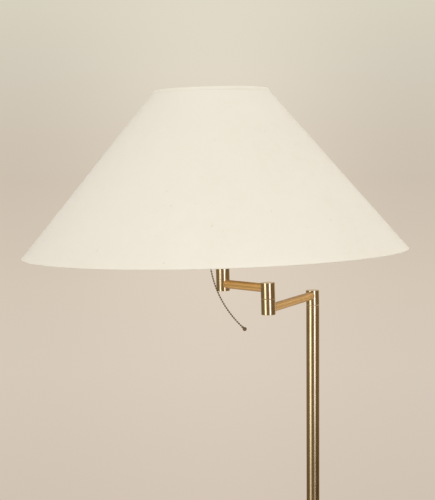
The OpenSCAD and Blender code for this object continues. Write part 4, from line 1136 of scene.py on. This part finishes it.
def softBox(tree, turn, rise, glossy, look):
    away = calc(tree, "ABSOLUTE", calc(tree, "SUBTRACT", turn, radians(look["turn"])))
    across = between(tree, away, (look["half"], look["half"] + studio["boxEdge"]), look["power"], 0)
    capped = times(tree, across, between(tree, rise, studio["boxTop"], 1, 0))
    glow = times(tree, capped, between(tree, rise, look["fade"], look["least"], 1))
    tint = mixColour(tree, glossy, studio["boxColour"], look["mirrored"])
    return vectorCalc(tree, "SCALE", {0: tint, "Scale": glow})


def roomLight(tree, turn, rise, glossy):
    climb = between(tree, rise, studio["climb"])
    sides = mixColour(tree, between(tree, turn, studio["rightFrom"]),
                      mixColour(tree, climb, studio["low"], studio["dim"]),
                      mixColour(tree, climb, studio["lowRight"], studio["dimRight"]))
    behind = between(tree, calc(tree, "ABSOLUTE", turn), studio["behindFrom"])
    light = mixColour(tree, behind, sides, studio["behind"])
    light = mixColour(tree, between(tree, rise, studio["overheadFrom"]), light, studio["overhead"])
    above = between(tree, rise, studio["wallAbove"])
    below = between(tree, rise, studio["wallBelow"], 1, 0)
    wall = larger(tree, larger(tree, above, below), between(tree, turn, studio["wallRight"]))
    light = mixColour(tree, times(tree, wall, glossy), light, studio["wall"])
    for side in ("left", "right"):
        light = vectorCalc(tree, "ADD", {0: light, 1: softBox(tree, turn, rise, glossy, studio[side])})
    return light


def backdropColour(tree, sideways, rise):
    low = backdrop["from"]
    high = backdrop["to"]
    height = remap(tree, rise, radians(low), radians(high), 0, 1)
    ramp = addNode(tree, "ValToRGB", {"Fac": height})
    stops = ramp.color_ramp.elements
    while len(stops) < len(backdrop["stops"]):
        stops.new(0.5)
    for stop, (angle, colour) in zip(stops, backdrop["stops"]):
        stop.position = (angle - low) / (high - low)
        stop.color = colour
    # painted shade: the backdrop darkens towards the sides
    side = remap(tree, calc(tree, "ABSOLUTE", sideways), 0.0, backdrop["sideReach"], 0, 1, True)
    lit = calc(tree, "SUBTRACT", 1.0, times(tree, side, ramp.outputs["Alpha"]))
    return vectorCalc(tree, "SCALE", {0: ramp.outputs["Color"], "Scale": lit})


def makeStudio():
    world = bpy.data.worlds.new("studio")
    world.use_nodes = True
    bpy.context.scene.world = world
    tree = world.node_tree
    tree.nodes.clear()
    way = addNode(tree, "TexCoord").outputs["Generated"]
    axes = addNode(tree, "SeparateXYZ", {"Vector": way}).outputs
    turn = calc(tree, "ARCTAN2", axes["X"], times(tree, axes["Y"], -1.0))
    rise = calc(tree, "ARCSINE", axes["Z"])
    path = addNode(tree, "LightPath").outputs
    light = roomLight(tree, turn, rise, path["Is Glossy Ray"])
    seen = backdropColour(tree, axes["X"], rise)
    colour = mixColour(tree, path["Is Camera Ray"], light, seen)
    shader = addNode(tree, "Background", {"Color": colour, "Strength": 1.0})
    addNode(tree, "OutputWorld", {"Surface": shader.outputs[0]})


floorLook = {"colour": (0.66, 0.59, 0.50, 1), "worn": (0.56, 0.49, 0.40, 1), "wornShare": 0.12,
             "grain": (9.0, 4, 0.5), "roughness": 0.8, "radius": 2.95, "drop": 0.0004, "fade": (0.45, 0.98)}


def floorFinish():
    finish, tree, shader, where = newFinish("paleFloor", {"Roughness": floorLook["roughness"]})
    grain = noise(tree, where["Object"], *floorLook["grain"])
    share = remap(tree, grain, *grainRange, 0, floorLook["wornShare"])
    plug(tree, shader, {"Base Color": mixColour(tree, share, floorLook["colour"], floorLook["worn"])})
    reach = addNode(tree, "VectorMath", {0: where["Object"]}, operation="LENGTH").outputs["Value"]
    limits = [part * floorLook["radius"] for part in floorLook["fade"]]
    fade = remap(tree, reach, *limits, 0, 1, True)
    clear = addNode(tree, "BsdfTransparent")
    both = addNode(tree, "MixShader", {0: fade, 1: shader.outputs[0], 2: clear.outputs[0]})
    plug(tree, tree.nodes["Material Output"], {"Surface": both.outputs[0]})
    return finish


def makeFloor():
    startClean()
    bpy.ops.mesh.primitive_circle_add(
        vertices=128, radius=floorLook["radius"], fill_type="NGON", location=(0, 0, -floorLook["drop"]))
    floor = named("paleFloor")
    bakePlace()
    floor.data.materials.append(floorFinish())


lampSet = {"colour": (1.0, 0.96, 0.90), "aim": (-0.12, -0.07, 1.2)}
lamps = {"softKey": {"place": (-0.05, -2.0, 3.1), "energy": 13, "size": 1.8},
         "leftFill": {"place": (-2.6, -0.1, 2.5), "energy": 15, "size": 2.0},
         "rightFill": {"place": (2.4, -0.1, 2.5), "energy": 26, "size": 2.0},
         "rearLeft": {"place": (-2.0, 1.6, 1.8), "energy": 11, "size": 1.6},
         "rearRight": {"place": (1.8, 1.6, 1.8), "energy": 16, "size": 1.6},
         "lowFill": {"place": (-0.2, -1.9, 1.0), "energy": 6, "size": 0.8}}


def makeLamps():
    for name, look in lamps.items():
        data = bpy.data.lights.new(name, "AREA")
        data.shape = "DISK"
        data.size = look["size"]
        data.energy = look["energy"]
        data.color = lampSet["colour"]
        lamp = bpy.data.objects.new(name, data)
        bpy.context.scene.collection.objects.link(lamp)
        lamp.location = look["place"]
        aim = Vector(lampSet["aim"]) - lamp.location
        lamp.rotation_euler = aim.to_track_quat("-Z", "Y").to_euler()
        lamp.visible_camera = False
        lamp.visible_glossy = False


makeCamera()
makeStudio()
makeFloor()
makeLamps()
bpy.context.scene.view_settings.view_transform = "Standard"
print("camera and studio set")
